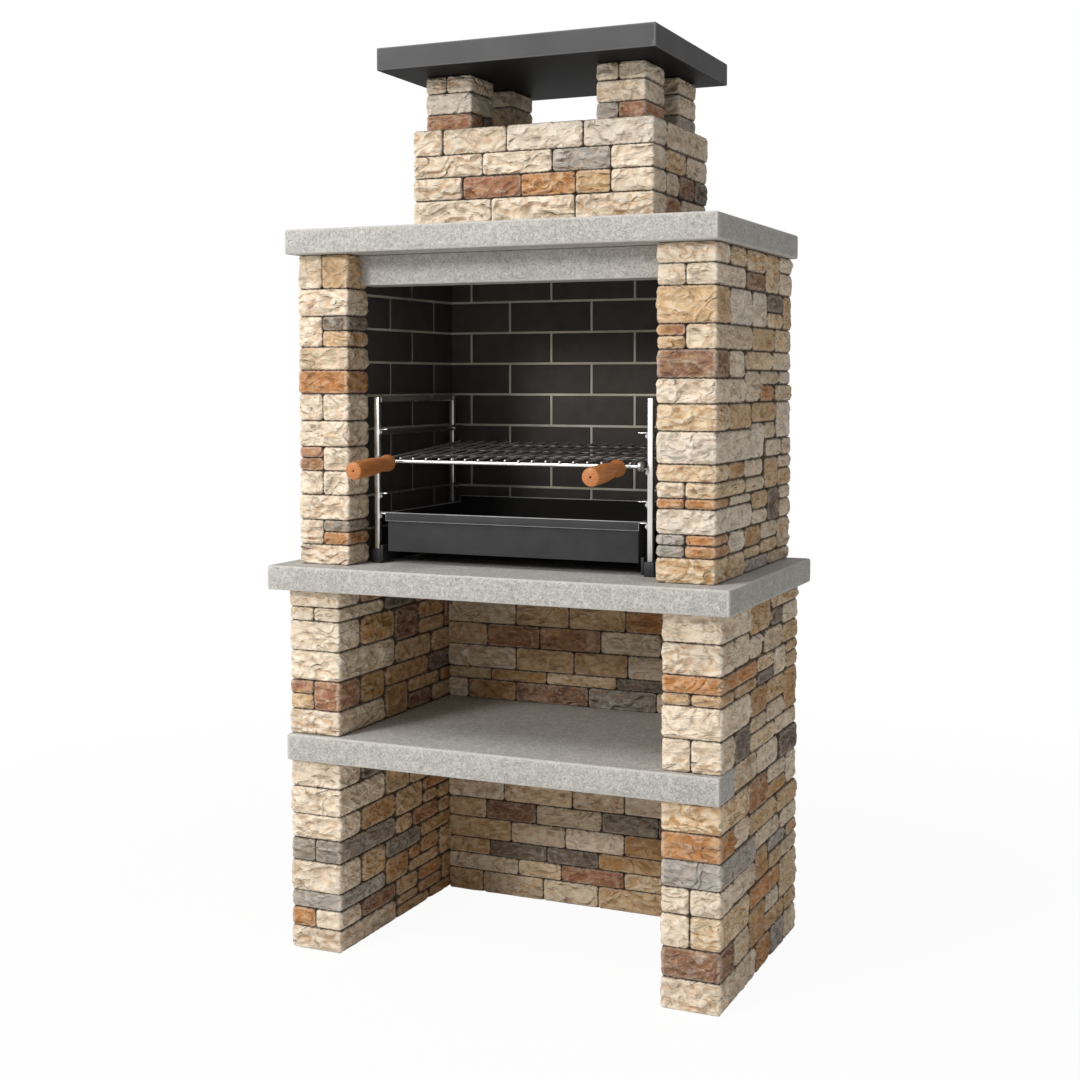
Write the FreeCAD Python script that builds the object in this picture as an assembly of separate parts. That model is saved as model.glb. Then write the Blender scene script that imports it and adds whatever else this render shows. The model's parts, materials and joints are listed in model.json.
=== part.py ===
import FreeCAD, Part
import math
import os

os.makedirs("parts", exist_ok=True)

Vector = FreeCAD.Vector

# Garden barbecue of split stone: x runs to the right, y to the rear, z up.
# While it is laid out, y is counted from the middle of the worktop's depth.

# Slabs of cast concrete
worktop_width = 1104.0
worktop_depth = 646.0
worktop_thickness = 56.0
worktop_height = 900.0
slab_arris = 5.0
shelf_height = 506.0
shelf_thickness = 61.0
shelf_lip = 14.0
shelf_wing_depth = 107.0
hood_width = 1030.0
hood_front_setback = 25.0
hood_thickness = 56.0
cap_width = 676.0
cap_depth = 505.0
cap_thickness = 52.0
cap_arris = 6.0

# Stone walls of the base and of the hearth above the worktop
base_width = 1046.0
base_wall = 134.0
base_setback = 45.0
base_back_wall = 60.0
hearth_width = 1006.0
hearth_wall = 133.0
hearth_setback = 59.0
hearth_height = 709.0
quoin_short = 100.0
quoin_long_near = 215.0
quoin_long_far = 265.0
thin_lay_limit = 90.0
stone_arris = 4.0
stone_relief = 4.0
rear_leaf = 28.0

# Firebrick lining: bricks seated in a mortar panel
brick_length = 216.5
brick_height = 72.0
brick_thickness = 26.0
brick_joint = 5.5
brick_proud = 2.0
mortar_bed = 6.0
lining_recess = 6.0
shortest_brick = 30.0

# Lintel over the hearth mouth
lintel_height = 69.0
lintel_depth = 80.0
lintel_setback = 60.0

# Chimney
stack_width = 598.0
stack_depth = 384.0
stack_height = 238.0
stack_rear_setback = 23.0
flue_width = 300.0
flue_depth = 200.0
post_width = 120.0
post_depth = 122.0
post_height = 125.0
post_side_inset = 25.0
post_end_inset = 19.0

# Steel side frames of the grill, which stands a little left of the middle
grill_offset = -9.5
bar_size = 12.5
rail_height = 13.0
frame_half_gap = 330.0
frame_front_setback = 146.0
frame_depth = 391.0
frame_height = 385.0
rung_leg = 22.0
rung_drop = 14.0
rung_sheet = 2.0
tab_length = 14.0
upper_rung_height = 311.0
grid_rung_height = 233.0
lower_rung_height = 163.0
pan_runner_height = 116.0
pan_runner_leg = 18.0
bolt_drop = 8.0
bolt_head_width = 8.0
bolt_head_thickness = 3.5
foot_size = 24.0
foot_height = 33.0
foot_floor = 6.0
socket_clearance = 0.2
plate_thickness = 6.0
plate_height = 38.0
plate_lift = 4.0

# Cooking grid with two wooden grips; round pieces are drawn with this many flats
bar_sides = 8
turned_sides = 24
grid_bar = 9.0
grid_half_width = 310.0
grid_depth = 358.0
grid_rise = 25.0
cross_bar = 6.0
wire_diameter = 5.0
wire_pitch = 33.0
wire_count = 19
wire_overhang = 6.0
weld_gap = 0.1
slide_gap = 0.4
collar_diameter = 24.0
collar_length = 9.0
handle_offset = 280.0
handle_rod_diameter = 8.0
grip_length = 165.0
grip_diameter = 40.0
grip_waist = 33.0
grip_bulb = 38.0
grip_start = 25.0
grip_nose = 9.0
grip_bulb_end = 17.0
grip_waist_place = 38.0
grip_swell_place = 92.0
grip_arris = 3.5
grip_hole_diameter = 4.5
grip_hole_depth = 30.0

# Ember pan of folded sheet
pan_sheet = 2.0
pan_width = 618.0
pan_depth = 372.0
pan_floor_height = 28.0
pan_flange = 17.0
pan_band_height = 20.0
pan_band_overlap = 3.0
pan_rear_upstand = 15.0

# Course lists run from the top down: height share, then how the corner is laid
hearth_left_courses = (
    (83, "pair"), (66, "one"), (75, "stack right"), (56, "one"), (57, "one"), (66, "pair"),
    (63, "one"), (59, "stack left"), (59, "pair"), (61, "one"), (61, "stack right"), (49, "one"),
)
hearth_right_courses = (
    (49, "one"), (51, "pair"), (88, "one"), (59, "stack left"), (67, "one"), (59, "one"), (64, "one"),
    (76, "one"), (42, "one"), (38, "pair"), (24, "pair"), (60, "one"), (54, "four"), (60, "one"),
)
base_left_upper_courses = (
    (44, "one"), (34, "pair"), (72, "one"), (72, "one"), (71, "stack left"), (60, "one"),
)
base_left_lower_courses = (
    (66, "one"), (67, "one"), (60, "one"), (55, "pair"), (74, "one"), (42, "one"), (46, "pair"), (55, "one"),
)
base_right_upper_courses = (
    (69, "one"), (71, "one"), (40, "one"), (28, "pair"), (73, "one"), (75, "pair"),
)
base_right_lower_courses = (
    (73, "one"), (66, "one"), (66, "one"), (63, "pair"), (80, "pair"), (73, "one"), (77, "one"),
)
# Rows of a back wall from the top down: height share, then shares of the length from the left
base_back_upper_rows = (
    (43, (160, 170, 150, 160, 138)),
    (45, (90, 170, 160, 165, 193)),
    (55, (194, 146, 152, 148, 138)),
    (57, (113, 147, 166, 159, 193)),
    (58, (194, 160, 144, 152, 128)),
    (30, (124, 155, 190, 151, 158)),
    (50, (58, 136, 199, 180, 205)),
)
base_back_lower_rows = (
    (48, (130, 170, 120, 190, 168)),
    (52, (200, 130, 180, 140, 128)),
    (45, (90, 150, 190, 160, 188)),
    (54, (160, 190, 140, 170, 118)),
    (50, (110, 140, 180, 150, 198)),
    (54, (180, 150, 160, 120, 168)),
    (41, (120, 160, 140, 190, 168)),
    (42, (200, 120, 170, 150, 138)),
    (56, (100, 170, 150, 180, 178)),
)
hearth_back_rows = (
    (74, (160, 210, 150, 230, 170)),
    (70, (230, 150, 210, 180, 150)),
    (82, (120, 200, 170, 220, 210)),
    (66, (210, 170, 230, 130, 180)),
    (78, (150, 230, 140, 210, 190)),
    (72, (190, 140, 220, 180, 190)),
    (84, (130, 220, 180, 160, 230)),
    (68, (220, 160, 150, 230, 160)),
    (76, (170, 190, 220, 140, 200)),
)

# Lays of a side wall behind its corner: part of the length from and to, part of the height from and to
side_lays = (
    ((0.00, 0.34, 0.55, 1.00), (0.00, 0.34, 0.30, 0.55), (0.00, 0.52, 0.00, 0.30), (0.34, 0.72, 0.62, 1.00),
     (0.34, 0.72, 0.30, 0.62), (0.72, 1.00, 0.30, 1.00), (0.52, 1.00, 0.00, 0.30)),
    ((0.00, 0.36, 0.40, 1.00), (0.00, 0.56, 0.00, 0.40), (0.36, 0.78, 0.68, 1.00), (0.36, 0.78, 0.40, 0.68),
     (0.78, 1.00, 0.40, 1.00), (0.56, 1.00, 0.00, 0.40)),
    ((0.00, 0.30, 0.00, 0.62), (0.00, 0.58, 0.62, 1.00), (0.30, 0.74, 0.34, 0.62), (0.30, 0.62, 0.00, 0.34),
     (0.58, 1.00, 0.62, 1.00), (0.74, 1.00, 0.34, 0.62), (0.62, 1.00, 0.00, 0.34)),
    ((0.00, 0.62, 0.64, 1.00), (0.62, 1.00, 0.32, 1.00), (0.00, 0.32, 0.00, 0.64), (0.32, 0.62, 0.32, 0.64),
     (0.32, 0.74, 0.00, 0.32), (0.74, 1.00, 0.00, 0.32)),
    ((0.00, 0.42, 0.40, 1.00), (0.00, 0.26, 0.00, 0.40), (0.26, 0.66, 0.00, 0.40), (0.42, 1.00, 0.70, 1.00),
     (0.42, 0.66, 0.40, 0.70), (0.66, 1.00, 0.35, 0.70), (0.66, 1.00, 0.00, 0.35)),
    ((0.00, 0.46, 0.58, 1.00), (0.46, 1.00, 0.66, 1.00), (0.00, 0.30, 0.00, 0.58), (0.30, 0.46, 0.28, 0.58),
     (0.30, 0.72, 0.00, 0.28), (0.46, 0.72, 0.28, 0.66), (0.72, 1.00, 0.00, 0.66)),
)
thin_lay = ((0.00, 0.40, 0.45, 1.00), (0.00, 0.40, 0.00, 0.45), (0.40, 0.70, 0.00, 1.00),
            (0.70, 1.00, 0.58, 1.00), (0.70, 1.00, 0.00, 0.58))
single_lay = ((0.00, 0.36, 0.00, 1.00), (0.36, 0.70, 0.00, 1.00), (0.70, 1.00, 0.00, 1.00))
stack_courses = (
    (60.0, (1.2, 2.5, 2.9, 2.6), (2.5, 2.9), (1.0,)),
    (51.5, (2.8, 2.7, 2.2, 1.6), (2.2, 2.7), (1.0, 1.05)),
    (52.0, (2.0, 2.3, 2.1, 1.3, 1.6), (), (1.0, 1.25)),
    (74.5, (3.1, 3.2, 2.9), (3.2,), (1.0, 1.7)),
)
post_courses = ((40.0, "across"), (48.0, "whole"), (37.0, "lowest"))

# Places that follow from the sizes above
rear_face = worktop_depth / 2
worktop_front = -worktop_depth / 2
worktop_underside = worktop_height - worktop_thickness
base_outer = base_width / 2
base_inner = base_outer - base_wall
base_front = worktop_front + base_setback
shelf_underside = shelf_height - shelf_thickness
shelf_front = base_front - shelf_lip
shelf_wing_rear = shelf_front + shelf_wing_depth
hearth_outer = hearth_width / 2
hearth_inner = hearth_outer - hearth_wall
hearth_front = worktop_front + hearth_setback
hearth_top = worktop_height + hearth_height
lining_thickness = mortar_bed + brick_thickness
lining_face = hearth_inner + lining_recess
lining_back = lining_face + lining_thickness
lining_front = hearth_front + quoin_short
lining_rear = rear_face - rear_leaf
back_lining_face = lining_rear - lining_thickness
lintel_front = hearth_front + lintel_setback
hood_front = worktop_front + hood_front_setback
hood_top = hearth_top + hood_thickness
stack_rear = rear_face - stack_rear_setback
stack_front = stack_rear - stack_depth
flue_front = (stack_front + stack_rear - flue_depth) / 2
flue_rear = flue_front + flue_depth
stack_top = hood_top + stack_height
post_top = stack_top + post_height
frame_front = worktop_front + frame_front_setback
frame_rear = frame_front + frame_depth
frame_middle = frame_half_gap + bar_size / 2
frame_top = worktop_height + frame_height
grid_rung_top = worktop_height + grid_rung_height
pan_runner_top = worktop_height + pan_runner_height
upper_rung_top = worktop_height + upper_rung_height
lower_rung_top = worktop_height + lower_rung_height
plate_face = frame_middle - foot_size / 2
upright_lines = (frame_front + bar_size / 2, frame_rear - bar_size / 2)


def block(x0, x1, y0, y1, z0, z1):
    return Part.makeBox(x1 - x0, y1 - y0, z1 - z0, Vector(x0, y0, z0))


def ring_points(centre, along, width, sides):
    # Corners of a ring whose flats lie level and upright; the width is taken across flats.
    way = Vector(*along)
    first = Vector(0, 0, 1) if abs(way.z) < 0.5 else Vector(0, 1, 0)
    second = way.cross(first)
    radius = width / 2 / math.cos(math.pi / sides)
    points = []
    for turn in range(sides):
        angle = math.pi * (2 * turn + 1) / sides
        points.append(Vector(*centre) + first * (radius * math.cos(angle)) + second * (radius * math.sin(angle)))
    return points


def flat_face(points):
    return Part.Face(Part.makePolygon(points + points[:1]))


def bar(start, along, length, width, sides=bar_sides):
    return flat_face(ring_points(start, along, width, sides)).extrude(Vector(*along) * length)


def bevelled(solid, size, planes):
    # Takes the arrises off round each named face, such as ("y", -264.0).
    edges = []
    for edge in solid.Edges:
        for axis, level in planes:
            ends = [getattr(corner.Point, axis) for corner in edge.Vertexes]
            if max(abs(end - level) for end in ends) < 0.001:
                edges.append(edge)
                break
    return solid.makeChamfer(size, edges)


def wobble(number):
    # Even spread between 0 and 1, so that neighbouring stones differ in depth.
    return (number * 0.618034) % 1.0


def levels(shares, bottom, top):
    # Bed levels of each course from the top down, filling the height.
    scale = (top - bottom) / sum(shares)
    beds = []
    upper = top
    for share in shares:
        lower = upper - share * scale
        beds.append((lower, upper))
        upper = lower
    return beds


def spans(shares, start, end):
    scale = (end - start) / sum(shares)
    pieces = []
    place = start
    for share in shares:
        pieces.append((place, place + share * scale))
        place = place + share * scale
    return pieces


def layers(bottom, top, count):
    if count == 1 or top - bottom < 48.0:
        return [(bottom, top)]
    middle = bottom + (top - bottom) * 0.53
    return [(bottom, middle), (middle, top)]


def corner_cells(laid, left, right, bottom, top):
    middle = left + (right - left) * 0.48
    if laid == "one":
        return [(left, right, bottom, top)]
    if laid == "pair":
        return [(left, middle, bottom, top), (middle, right, bottom, top)]
    cells = []
    for half, span in (("left", (left, middle)), ("right", (middle, right))):
        count = 2 if laid in ("stack " + half, "four") else 1
        for low, high in layers(bottom, top, count):
            cells.append(span + (low, high))
    return cells


def corner_stones(laid, left, right, front, depth, bottom, top, number):
    # One course of a corner, its front face bevelled.
    stones = []
    for x0, x1, z0, z1 in corner_cells(laid, left, right, bottom, top):
        face = front + stone_relief * wobble(number + len(stones) * 3)
        stone = block(x0, x1, face, front + depth, z0, z1)
        stones.append(bevelled(stone, stone_arris, [("y", face)]))
    return stones


def quoin_depth(number, place):
    # Short and long corner stones take turns; the long ones reach less far in every other pair.
    if number % 2 == 0:
        return quoin_short
    return quoin_long_far if (place // 2) % 2 else quoin_long_near


def lay_cells(lay, start, end, bottom, top):
    cells = []
    for near, far, low, high in lay:
        cells.append((start + (end - start) * near, start + (end - start) * far,
                      bottom + (top - bottom) * low, bottom + (top - bottom) * high))
    return cells


def side_stones(side, outer, inner, cells, number):
    stones = []
    for y0, y1, z0, z1 in cells:
        sink = stone_relief * wobble(number + len(stones) * 5)
        outside = side * (outer - sink)
        inside = side * inner
        stone = block(min(outside, inside), max(outside, inside), y0, y1, z0, z1)
        stones.append(bevelled(stone, stone_arris, [("x", outside)]))
    return stones


def stones_behind_corner(side, outer, inner, front, beds, phase):
    # Two courses are filled together, so that bed joints don't run through to the rear.
    stones = []
    for first in range(0, len(beds), 2):
        pair = beds[first:first + 2]
        number = phase + first
        reach = max(quoin_depth(number + step, first) for step in (0, 1))
        if len(pair) == 1:
            reach = quoin_depth(number, first)
        for step, (bottom, top) in enumerate(pair):
            depth = quoin_depth(number + step, first)
            if depth < reach:
                gap = [(front + depth, front + reach, bottom, top)]
                stones += side_stones(side, outer, inner, gap, number)
        bottom, top = pair[-1][0], pair[0][1]
        lay = side_lays[(number // 2 + phase) % len(side_lays)]
        if top - bottom < thin_lay_limit:
            lay = thin_lay
        if len(pair) == 1:
            lay = single_lay
        stones += side_stones(side, outer, inner, lay_cells(lay, front + reach, rear_face, bottom, top), number)
    return stones


def base_wall_stones(side, upper_courses, lower_courses, phase):
    # Through stones; the shelf takes the place of the corner at its own level.
    left, right = sorted((side * base_inner, side * base_outer))
    stones = []
    courses = [(upper_courses, shelf_height, worktop_underside), (lower_courses, 0.0, shelf_underside)]
    number = phase
    for listed, low, high in courses:
        beds = levels([share for share, laid in listed], low, high)
        for place, ((bottom, top), (share, laid)) in enumerate(zip(beds, listed)):
            depth = quoin_depth(number + place, place)
            stones += corner_stones(laid, left, right, base_front, depth, bottom, top, number + place)
        stones += stones_behind_corner(side, base_outer, base_inner, base_front, beds, number)
        number = number + len(listed)
    stones += side_stones(side, base_outer, base_inner,
                          lay_cells(single_lay, shelf_wing_rear, rear_face, shelf_underside, shelf_height), number)
    return stones


def hearth_wall_stones(side, listed, lintel, phase):
    # Corner stones go right through; behind them a stone leaf backs the lining.
    left, right = sorted((side * hearth_inner, side * hearth_outer))
    lining_room = block(*sorted((side * hearth_inner, side * lining_back)), lining_front, rear_face,
                        worktop_height, hearth_top)
    stones = []
    beds = levels([share for share, laid in listed], worktop_height, hearth_top)
    for place, ((bottom, top), (share, laid)) in enumerate(zip(beds, listed)):
        number = phase + place
        depth = quoin_depth(number, place)
        for stone in corner_stones(laid, left, right, hearth_front, depth, bottom, top, number):
            if stone.BoundBox.YMax > lining_front + 1.0:
                stone = stone.cut(lining_room)
            if stone.BoundBox.ZMax > hearth_top - lintel_height:
                stone = stone.cut(lintel)
            stones += stone.Solids
    stones += stones_behind_corner(side, hearth_outer, lining_back, hearth_front, beds, phase)
    return stones


def back_wall_stones(half_width, front, shown_inside, rows, low, high, phase):
    stones = []
    beds = levels([share for share, run in rows], low, high)
    for number, ((bottom, top), (share, run)) in enumerate(zip(beds, rows)):
        for x0, x1 in spans(run, -half_width, half_width):
            face = rear_face - stone_relief * wobble(number + phase + len(stones))
            stone = block(x0, x1, front, face, bottom, top)
            if shown_inside:
                stone = bevelled(stone, stone_arris, [("y", front)])
            stones.append(stone)
    return stones


def brick_cells(start, end, first):
    # Lengths of bricks in one row; a very short end piece joins its neighbour.
    cells = []
    place = start
    length = brick_length * first
    while place < end:
        stop = min(place + length, end)
        if end - stop < shortest_brick + brick_joint:
            stop = end
        cells.append((place, stop))
        place = stop + brick_joint
        length = brick_length
    return cells


def lining_bricks(start, end, firsts):
    # Running bond from the worktop up: start, end, bottom and top of each brick.
    cells = []
    row = 0
    bottom = worktop_height + brick_joint / 2
    while bottom + brick_height < hearth_top:
        for u0, u1 in brick_cells(start, end, firsts[row % 2]):
            cells.append((u0, u1, bottom, bottom + brick_height))
        bottom = bottom + brick_height + brick_joint
        row = row + 1
    return cells


def side_lining(side, lintel):
    back = side * lining_back
    seat = side * (lining_face + brick_thickness)
    panel_face = side * (lining_face + brick_proud)
    face = side * lining_face
    panel = block(*sorted((panel_face, back)), lining_front, lining_rear, worktop_height, hearth_top)
    bricks = []
    for y0, y1, z0, z1 in lining_bricks(lining_front, lining_rear, (1.0, 0.5)):
        bricks.append(block(*sorted((face, seat)), y0, y1, z0, z1))
    panel = panel.cut(bricks + [lintel])
    return [brick.cut(lintel) if brick.BoundBox.ZMax > hearth_top - lintel_height else brick
            for brick in bricks], panel


def back_lining():
    seat = back_lining_face + brick_thickness
    panel = block(-lining_face, lining_face, back_lining_face + brick_proud, lining_rear,
                  worktop_height, hearth_top)
    bricks = []
    for x0, x1, z0, z1 in lining_bricks(-lining_face, lining_face, (0.25, 0.75)):
        bricks.append(block(x0, x1, back_lining_face, seat, z0, z1))
    return bricks, panel.cut(bricks)


def slab(x0, x1, y0, y1, z0, z1, arris):
    solid = block(x0, x1, y0, y1, z0, z1)
    return bevelled(solid, arris, [("z", z0), ("z", z1)])


def lintel_beam():
    # Its ends reach into the corner stones as far as the back of the lining.
    bottom = hearth_top - lintel_height
    return block(-lining_back, lining_back, lintel_front, lintel_front + lintel_depth, bottom, hearth_top)


def shelf_slab():
    # Full width in front, where it lies on the corners, then between the walls.
    front = block(-base_outer, base_outer, shelf_front, shelf_wing_rear, shelf_underside, shelf_height)
    rear = block(-base_inner, base_inner, shelf_wing_rear, rear_face, shelf_underside, shelf_height)
    solid = front.fuse(rear).removeSplitter()
    return bevelled(solid, slab_arris, [("y", shelf_front)])


def hood_slab():
    solid = slab(-hood_width / 2, hood_width / 2, hood_front, rear_face, hearth_top, hood_top, slab_arris)
    return solid.cut(block(-flue_width / 2, flue_width / 2, flue_front, flue_rear, hearth_top, hood_top))


def stack_stones():
    # Rings of stones round the flue. The front row is full width; the side rows run through to the rear
    # where the course names a rear row of its own, and stop at a full-width rear row elsewhere.
    half = stack_width / 2
    flue_half = flue_width / 2
    stones = []
    beds = levels([course[0] for course in stack_courses], hood_top, stack_top)
    for number, ((bottom, top), course) in enumerate(zip(beds, stack_courses)):
        share, front_run, rear_run, side_run = course
        sink = stone_relief * wobble(number)
        rear = stack_rear - stone_relief * wobble(number + 4)
        for x0, x1 in spans(front_run, -half, half):
            front = stack_front + stone_relief * wobble(number + len(stones))
            ends = [("x", level) for level in (x0, x1) if abs(level) > half - 0.001]
            stone = block(x0, x1, front, flue_front, bottom, top)
            stones.append(bevelled(stone, stone_arris, [("y", front)] + ends))
        row_half = flue_half if rear_run else half
        for x0, x1 in spans(rear_run or front_run[::-1], -row_half, row_half):
            ends = [("x", level) for level in (x0, x1) if abs(level) > half - 0.001]
            stone = block(x0, x1, flue_rear, rear, bottom, top)
            stones.append(bevelled(stone, stone_arris, [("y", rear)] + ends))
        side_end = rear if rear_run else flue_rear
        for y0, y1 in spans(side_run, flue_front, side_end):
            ends = [("y", rear)] if y1 > rear - 0.001 else []
            for side in (-1, 1):
                outside = side * (half - sink)
                stone = block(*sorted((outside, side * flue_half)), y0, y1, bottom, top)
                stones.append(bevelled(stone, stone_arris, [("x", outside)] + ends))
    return stones


def post_stones(left, front, lowest):
    right = left + post_width
    rear = front + post_depth
    stones = []
    beds = levels([share for share, laid in post_courses], stack_top, post_top)
    for (bottom, top), (share, laid) in zip(beds, post_courses):
        cells = [(left, right, front, rear)]
        if laid == "lowest":
            laid = lowest
        if laid == "across":
            middle = left + post_width * 0.45
            cells = [(left, middle, front, rear), (middle, right, front, rear)]
        if laid == "along":
            middle = front + post_depth * 0.55
            cells = [(left, right, front, middle), (left, right, middle, rear)]
        for x0, x1, y0, y1 in cells:
            stone = block(x0, x1, y0, y1, bottom, top)
            stones.append(bevelled(stone, stone_arris, [("z", top)]))
    return stones


def hex_bolt(line, height):
    # Head of a stud, seated on the inner face of the sheet that it holds to the upright.
    seat = frame_half_gap - rung_sheet
    return bar((seat, line, height), (-1, 0, 0), bolt_head_thickness, bolt_head_width, 6)


def rung(top, leg_width, web_spans):
    # Folded strip: the flat leg carries the load, the web or its tabs take the studs.
    inner = frame_half_gap
    strip = block(inner - leg_width, inner, frame_front, frame_rear, top - rung_sheet, top)
    for y0, y1 in web_spans:
        strip = strip.fuse(block(inner - rung_sheet, inner, y0, y1, top - rung_drop, top))
    return strip.removeSplitter()


def side_frame():
    # The right-hand frame; the left-hand one is its mirror image.
    pieces = {}
    inner = frame_half_gap
    outer = inner + bar_size
    socket_floor = worktop_height + foot_floor
    places = {"front": frame_front, "rear": frame_rear - bar_size}
    for name, front in places.items():
        pieces[name + "_upright"] = block(inner, outer, front, front + bar_size, socket_floor, frame_top)
        middle = front + bar_size / 2
        half = foot_size / 2
        foot = block(frame_middle - half, frame_middle + half, middle - half, middle + half,
                     worktop_height, worktop_height + foot_height)
        foot = bevelled(foot, 2.0, [("z", worktop_height + foot_height)])
        room = socket_clearance
        socket = block(inner - room, outer + room, front - room, front + bar_size + room,
                       socket_floor, worktop_height + foot_height)
        pieces[name + "_foot"] = foot.cut(socket)
    pieces["top_rail"] = block(inner, outer, frame_front + bar_size, frame_rear - bar_size,
                               frame_top - rail_height, frame_top)
    whole = [(frame_front, frame_rear)]
    tabs = [(frame_front, frame_front + tab_length), (frame_rear - tab_length, frame_rear)]
    pieces["upper_rung"] = rung(upper_rung_top, rung_leg, whole)
    pieces["grid_rung"] = rung(grid_rung_top, rung_leg, tabs)
    pieces["lower_rung"] = rung(lower_rung_top, rung_leg, tabs)
    pieces["pan_runner"] = rung(pan_runner_top, pan_runner_leg, whole)
    reach = (foot_size - bar_size) / 2
    pieces["side_plate"] = block(plate_face - plate_thickness, plate_face, frame_front - reach,
                                 frame_rear + reach, worktop_height + plate_lift,
                                 worktop_height + plate_lift + plate_height)
    bolts = []
    for line in upright_lines:
        for top in (upper_rung_top, grid_rung_top, lower_rung_top, pan_runner_top):
            bolts.append(hex_bolt(line, top - bolt_drop))
    pieces["frame_bolts"] = Part.makeCompound(bolts)
    return pieces


def tilted(shape):
    # The grid is drawn flat from the axis of its front bar, then laid on its rungs.
    shape.rotate(Vector(0, 0, 0), Vector(1, 0, 0), grid_slope)
    shape.translate(Vector(0, grid_front, grid_level))
    return shape


def grid_frame():
    half = grid_half_width
    reach = half + grid_bar / 2 + collar_length + 1.5
    frame = bar((-reach, 0, 0), (1, 0, 0), 2 * reach, grid_bar)
    for side in (-1, 1):
        frame = frame.fuse(bar((side * half, 0, 0), (0, 1, 0), grid_depth, grid_bar - 0.6))
    frame = frame.fuse(bar((-half - 3, grid_depth, 0), (1, 0, 0), 2 * half + 6, grid_bar))
    for share in (0.34, 0.67):
        frame = frame.fuse(bar((-half, grid_depth * share, 0), (1, 0, 0), 2 * half, cross_bar))
    frame = tilted(frame)
    foot_line = grid_front + grid_depth - 14.0
    for side in (-1, 1):
        foot_bottom = grid_rung_top + slide_gap
        foot = bar((side * half, foot_line, foot_bottom), (0, 0, 1), grid_rise, grid_bar - 1.4)
        frame = frame.fuse(foot)
    return frame.removeSplitter()


def grid_wires():
    level = grid_bar / 2 + wire_diameter / 2 + weld_gap
    first = -wire_pitch * (wire_count - 1) / 2
    wires = []
    for number in range(wire_count):
        start = (first + number * wire_pitch, -wire_overhang, level)
        wires.append(bar(start, (0, 1, 0), grid_depth + 2 * wire_overhang, wire_diameter))
    return tilted(Part.makeCompound(wires))


def grid_collar(side):
    inner = grid_half_width + grid_bar / 2 + 1.0
    start = (min(side * inner, side * (inner + collar_length)), 0, 0)
    ring = bar(start, (1, 0, 0), collar_length, collar_diameter, turned_sides)
    hole = bar(start, (1, 0, 0), collar_length, grid_bar + 2 * weld_gap)
    return tilted(ring.cut(hole))


def handle_rod(side):
    start = grid_bar / 2 + weld_gap
    end = grip_start + grip_length - grip_hole_depth
    return tilted(bar((side * handle_offset, -end, 0), (0, 1, 0), end - start, handle_rod_diameter))


def turned(profile):
    # Ring after ring along -y, each pair joined by flats as on a turned and faceted piece.
    rings = [ring_points((0, place, 0), (0, 1, 0), width, turned_sides) for width, place in profile]
    faces = [flat_face(rings[0]), flat_face(rings[-1])]
    for near, far in zip(rings, rings[1:]):
        for turn in range(turned_sides):
            after = (turn + 1) % turned_sides
            faces.append(flat_face([near[turn], near[after], far[after], far[turn]]))
    shell = Part.makeShell(faces)
    shell.sewShape()
    return Part.makeSolid(shell)


def wooden_grip(side):
    # A bulb at the inner end, a waist, then a barrel that widens outwards.
    near = -grip_start
    far = near - grip_length
    grip = turned([
        (grip_bulb - grip_nose, near),
        (grip_bulb, near - grip_nose),
        (grip_bulb, near - grip_bulb_end),
        (grip_waist, near - grip_waist_place),
        (grip_diameter, near - grip_swell_place),
        (grip_diameter, far + grip_arris),
        (grip_diameter - 2 * grip_arris, far),
    ])
    bore_end = far + grip_hole_depth
    bore = bar((0, bore_end, 0), (0, 1, 0), near - bore_end, handle_rod_diameter + 2 * weld_gap)
    hole = bar((0, far, 0), (0, 1, 0), grip_hole_depth, grip_hole_diameter)
    grip = grip.cut([bore, hole])
    grip.translate(Vector(side * handle_offset, 0, 0))
    return tilted(grip)


def ember_pan():
    half = pan_width / 2
    top = pan_runner_top + slide_gap + pan_sheet
    floor = worktop_height + pan_floor_height
    band_rear = frame_front - slide_gap
    front = band_rear + 4.0
    rear = front + pan_depth
    sheet = pan_sheet
    body = block(-half, half, front, rear, floor, top)
    flange = block(-half - pan_flange, half + pan_flange, band_rear, rear, top - sheet, top)
    band_half = half + pan_band_overlap
    band = block(-band_half, band_half, band_rear - sheet, band_rear, top - pan_band_height, top)
    upstand = block(-half, half, rear - sheet, rear, floor, top + pan_rear_upstand)
    solid = body.fuse([flange, band, upstand]).removeSplitter()
    hollow = block(-half + sheet, half - sheet, front + sheet, rear - sheet, floor + sheet, top)
    return solid.cut(hollow)


grid_slope = math.degrees(math.asin(grid_rise / grid_depth))
grid_front = frame_front - collar_diameter / 2 - slide_gap
grid_level = grid_rung_top + grid_bar / 2 + slide_gap

shapes = {}
lintel = lintel_beam()
shapes["base_left_wall"] = Part.makeCompound(
    base_wall_stones(-1, base_left_upper_courses, base_left_lower_courses, 0))
shapes["base_right_wall"] = Part.makeCompound(
    base_wall_stones(1, base_right_upper_courses, base_right_lower_courses, 3))
base_back_front = rear_face - base_back_wall
shapes["base_back_wall"] = Part.makeCompound(
    back_wall_stones(base_inner, base_back_front, True, base_back_upper_rows,
                     shelf_height, worktop_underside, 0)
    + back_wall_stones(base_inner, base_back_front, True, base_back_lower_rows,
                       0.0, shelf_underside, 1))
shapes["shelf_slab"] = shelf_slab()
shapes["worktop_slab"] = slab(-worktop_width / 2, worktop_width / 2, worktop_front, rear_face,
                              worktop_underside, worktop_height, slab_arris)
shapes["hearth_left_wall"] = Part.makeCompound(hearth_wall_stones(-1, hearth_left_courses, lintel, 1))
shapes["hearth_right_wall"] = Part.makeCompound(hearth_wall_stones(1, hearth_right_courses, lintel, 0))
shapes["hearth_back_wall"] = Part.makeCompound(
    back_wall_stones(lining_back, lining_rear, False, hearth_back_rows, worktop_height, hearth_top, 2))
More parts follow.
